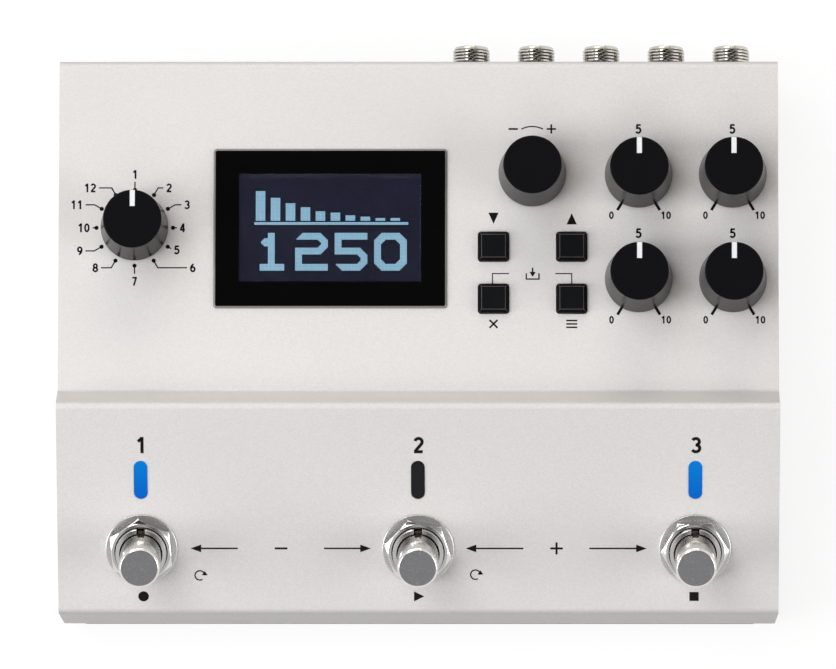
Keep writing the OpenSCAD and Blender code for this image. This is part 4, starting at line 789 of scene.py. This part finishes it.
# Bottom: a plate of steel with black wrinkle paint, held by eight plated cross-head screws, on four
# moulded rubber feet.
wrinkle, *_ = finish("cover_paint", rgb(46, 46, 48), (0.45, 0.6), tone=0.1, fine=1800.0, cloud=60.0,
                     lift=0.02)
dress(wrinkle, "bottom_cover")
soften(0.2, "bottom_cover")
screw, *_ = finish("screw_steel", rgb(150, 150, 152), (0.25, 0.4), 1.0, tone=0.08, fine=3000.0, cloud=250.0)
dress(screw, "cover_screws", "board_screws", "board_spacers")
rubber, *_ = finish("foot_rubber", rgb(22, 22, 22), (0.7, 0.85), tone=0.12, fine=2200.0, cloud=120.0,
                    lift=0.01)
dress(rubber, "rubber_feet")
soften(0.4, "rubber_feet")


# Boards: green glass-fibre laminate with etched traces under its lacquer, screwed to posts and
# spacers and joined by a flat grey cable whose cores show as ribs.
laminate, tree, shader, _ = finish("board_laminate", rgb(20, 74, 42), (0.3, 0.45), tone=0.12, fine=1500.0,
                                   cloud=90.0, lift=0.003)
trace = node(tree, "TexBrick", {"offset": 0.37, "squash": 0.6}, Vector=here(tree), Scale=150.0,
             Mortar_Size=0.035, Mortar_Smooth=0.1)
recolour(tree, shader, trace.outputs["Fac"], rgb(48, 116, 66))
dress(laminate, "main_board", "panel_board", "indicator_board")
cable, tree, shader, _ = finish("cable_grey", rgb(150, 150, 152), (0.45, 0.6), tone=0.06, fine=1200.0,
                                cloud=100.0, lift=0.01)
cores = node(tree, "TexWave", {"bands_direction": "X"}, Vector=here(tree), Scale=247.0).outputs["Fac"]
ribs = node(tree, "Bump", None, Strength=1.0, Distance=0.0003, Height=cores,
            Normal=shader.inputs["Normal"].links[0].from_socket)
tree.links.new(ribs.outputs[0], shader.inputs["Normal"])
dress(cable, "ribbon_cable")


# Studio: a white floor, soft square lamps on all four sides and above, and a camera high over the
# front edge, as far off as a long lens needs.
scene = bpy.context.scene
scene.view_settings.view_transform = "Standard"
white_light = (1.0, 1.0, 1.0, 1.0)
floor_half, floor_seen = 9.0, 0.85


def greater(tree, one, other):
    """The greater of two values."""
    return node(tree, "Math", {"operation": "MAXIMUM"}, _0=one, _1=other).outputs[0]


def seen(tree):
    """1 for camera, mirror and glass rays, 0 for the rays that carry light to surfaces."""
    path = node(tree, "LightPath").outputs
    most = greater(tree, path["Is Camera Ray"], path["Is Glossy Ray"])
    return greater(tree, most, path["Is Transmission Ray"])


corners = np.array([[-1, -1, 0], [1, -1, 0], [1, 1, 0], [-1, 1, 0]]) * floor_half
floor_mesh = bpy.data.meshes.new("floor")
floor_mesh.from_pydata(corners.tolist(), [], [(0, 1, 2, 3)])
floor = bpy.data.objects.new("floor", floor_mesh)
scene.collection.objects.link(floor)
paper, tree, shader, _ = finish("floor_paper", rgb(120, 120, 120), (0.8, 0.9), tone=0.005, fine=400.0,
                                cloud=2.0, lift=0.0, Emission_Color=white_light, Specular_IOR_Level=0.0)
tree.links.new(both(tree, seen(tree), floor_seen), shader.inputs["Emission Strength"])
# From below the floor is clear, so that views from under the object show its underside.
one_sided = node(tree, "MixShader", None, _0=node(tree, "NewGeometry").outputs["Backfacing"],
                 _1=shader.outputs[0], _2=node(tree, "BsdfTransparent").outputs[0])
tree.links.new(one_sided.outputs[0], tree.nodes["Material Output"].inputs["Surface"])
paper.cycles.emission_sampling = "NONE"
floor_mesh.materials.append(paper)

# What mirrors see above: white sides that darken overhead, and a soft panel over the front.
sky_low, sky_high, side_light, top_light = 0.6, 0.965, 1.0, 0.03
panel_way, panel_edge, panel_core, panel_light = (0.0, -0.24, 0.971), 0.962, 0.992, 0.75
room_light = 0.07
world = bpy.data.worlds.new("studio")
scene.world = world
world.use_nodes = True
tree = world.node_tree
way = node(tree, "TexCoord").outputs["Generated"]
height = node(tree, "SeparateXYZ", None, Vector=way).outputs[2]
sky = node(tree, "MapRange", None, Value=height, From_Min=sky_low, From_Max=sky_high,
           To_Min=side_light, To_Max=top_light)
near = node(tree, "VectorMath", {"operation": "DOT_PRODUCT"}, _0=way, _1=panel_way).outputs["Value"]
sky = greater(tree, sky.outputs[0], spread(tree, near, panel_edge, panel_core, panel_light))
level = node(tree, "Mix", {"data_type": "FLOAT"}, _0=seen(tree), _2=room_light, _3=sky).outputs[0]
backdrop = tree.nodes["Background"]
backdrop.inputs["Color"].default_value = white_light
tree.links.new(level, backdrop.inputs["Strength"])

lamp_side = 1.1


def lamp(name, at, watts, tint=(1, 1, 1), mirrored=True):
    """A square soft lamp turned to the object; mirrored says if polished surfaces show it."""
    light = bpy.data.lights.new(name, "AREA")
    light.size = lamp_side
    light.energy = watts
    light.color = tint
    holder = bpy.data.objects.new(name, light)
    holder.visible_glossy = mirrored
    scene.collection.objects.link(holder)
    back = np.array(at) / np.linalg.norm(at)
    right = np.cross([0, 0, 1.0], back)
    right /= np.linalg.norm(right)
    axes = np.column_stack([right, np.cross(back, right), back])
    holder.matrix_world = Matrix.Translation(at) @ Matrix(axes.tolist()).to_4x4()


lamp("key", at=(-0.871, 0.871, 1.576), watts=10.8, tint=(0.97, 1.0, 1.04))
lamp("left", at=(-1.7, -0.45, 0.95), watts=16.0)
lamp("right", at=(1.7, -0.45, 0.95), watts=13.5)
lamp("rear", at=(0.0, 1.766, 0.939), watts=10.0, tint=(1.0, 0.9, 0.78))
lamp("front", at=(-0.2, -1.2, 1.58), watts=3.5, mirrored=False)
lamp("above", at=(-0.7, -0.15, 1.9), watts=13.0, mirrored=False)

# The camera looks down by the tilt and a little to the left: by aside_px where the focal length is
# focal_px, both in pixels.
camera = bpy.data.objects.new("camera", bpy.data.cameras.new("camera"))
scene.collection.objects.link(camera)
scene.camera = camera
camera.data.lens = 400.3
camera.data.sensor_width = 36.0
camera.data.clip_end = 50.0
camera_at = (0.02046, -0.29019, 2.21947)
tilt, focal_px, aside_px = math.radians(82.5), 9296.0, -87.0
ahead = np.array([aside_px, focal_px * math.cos(tilt), -focal_px * math.sin(tilt)])
ahead /= np.linalg.norm(ahead)
right = np.array([1.0, 0, 0]) - ahead[0] * ahead
right /= np.linalg.norm(right)
axes = np.column_stack([right, np.cross(right, ahead), -ahead])
camera.matrix_world = Matrix.Translation(camera_at) @ Matrix(axes.tolist()).to_4x4()

bpy.context.view_layer.update()
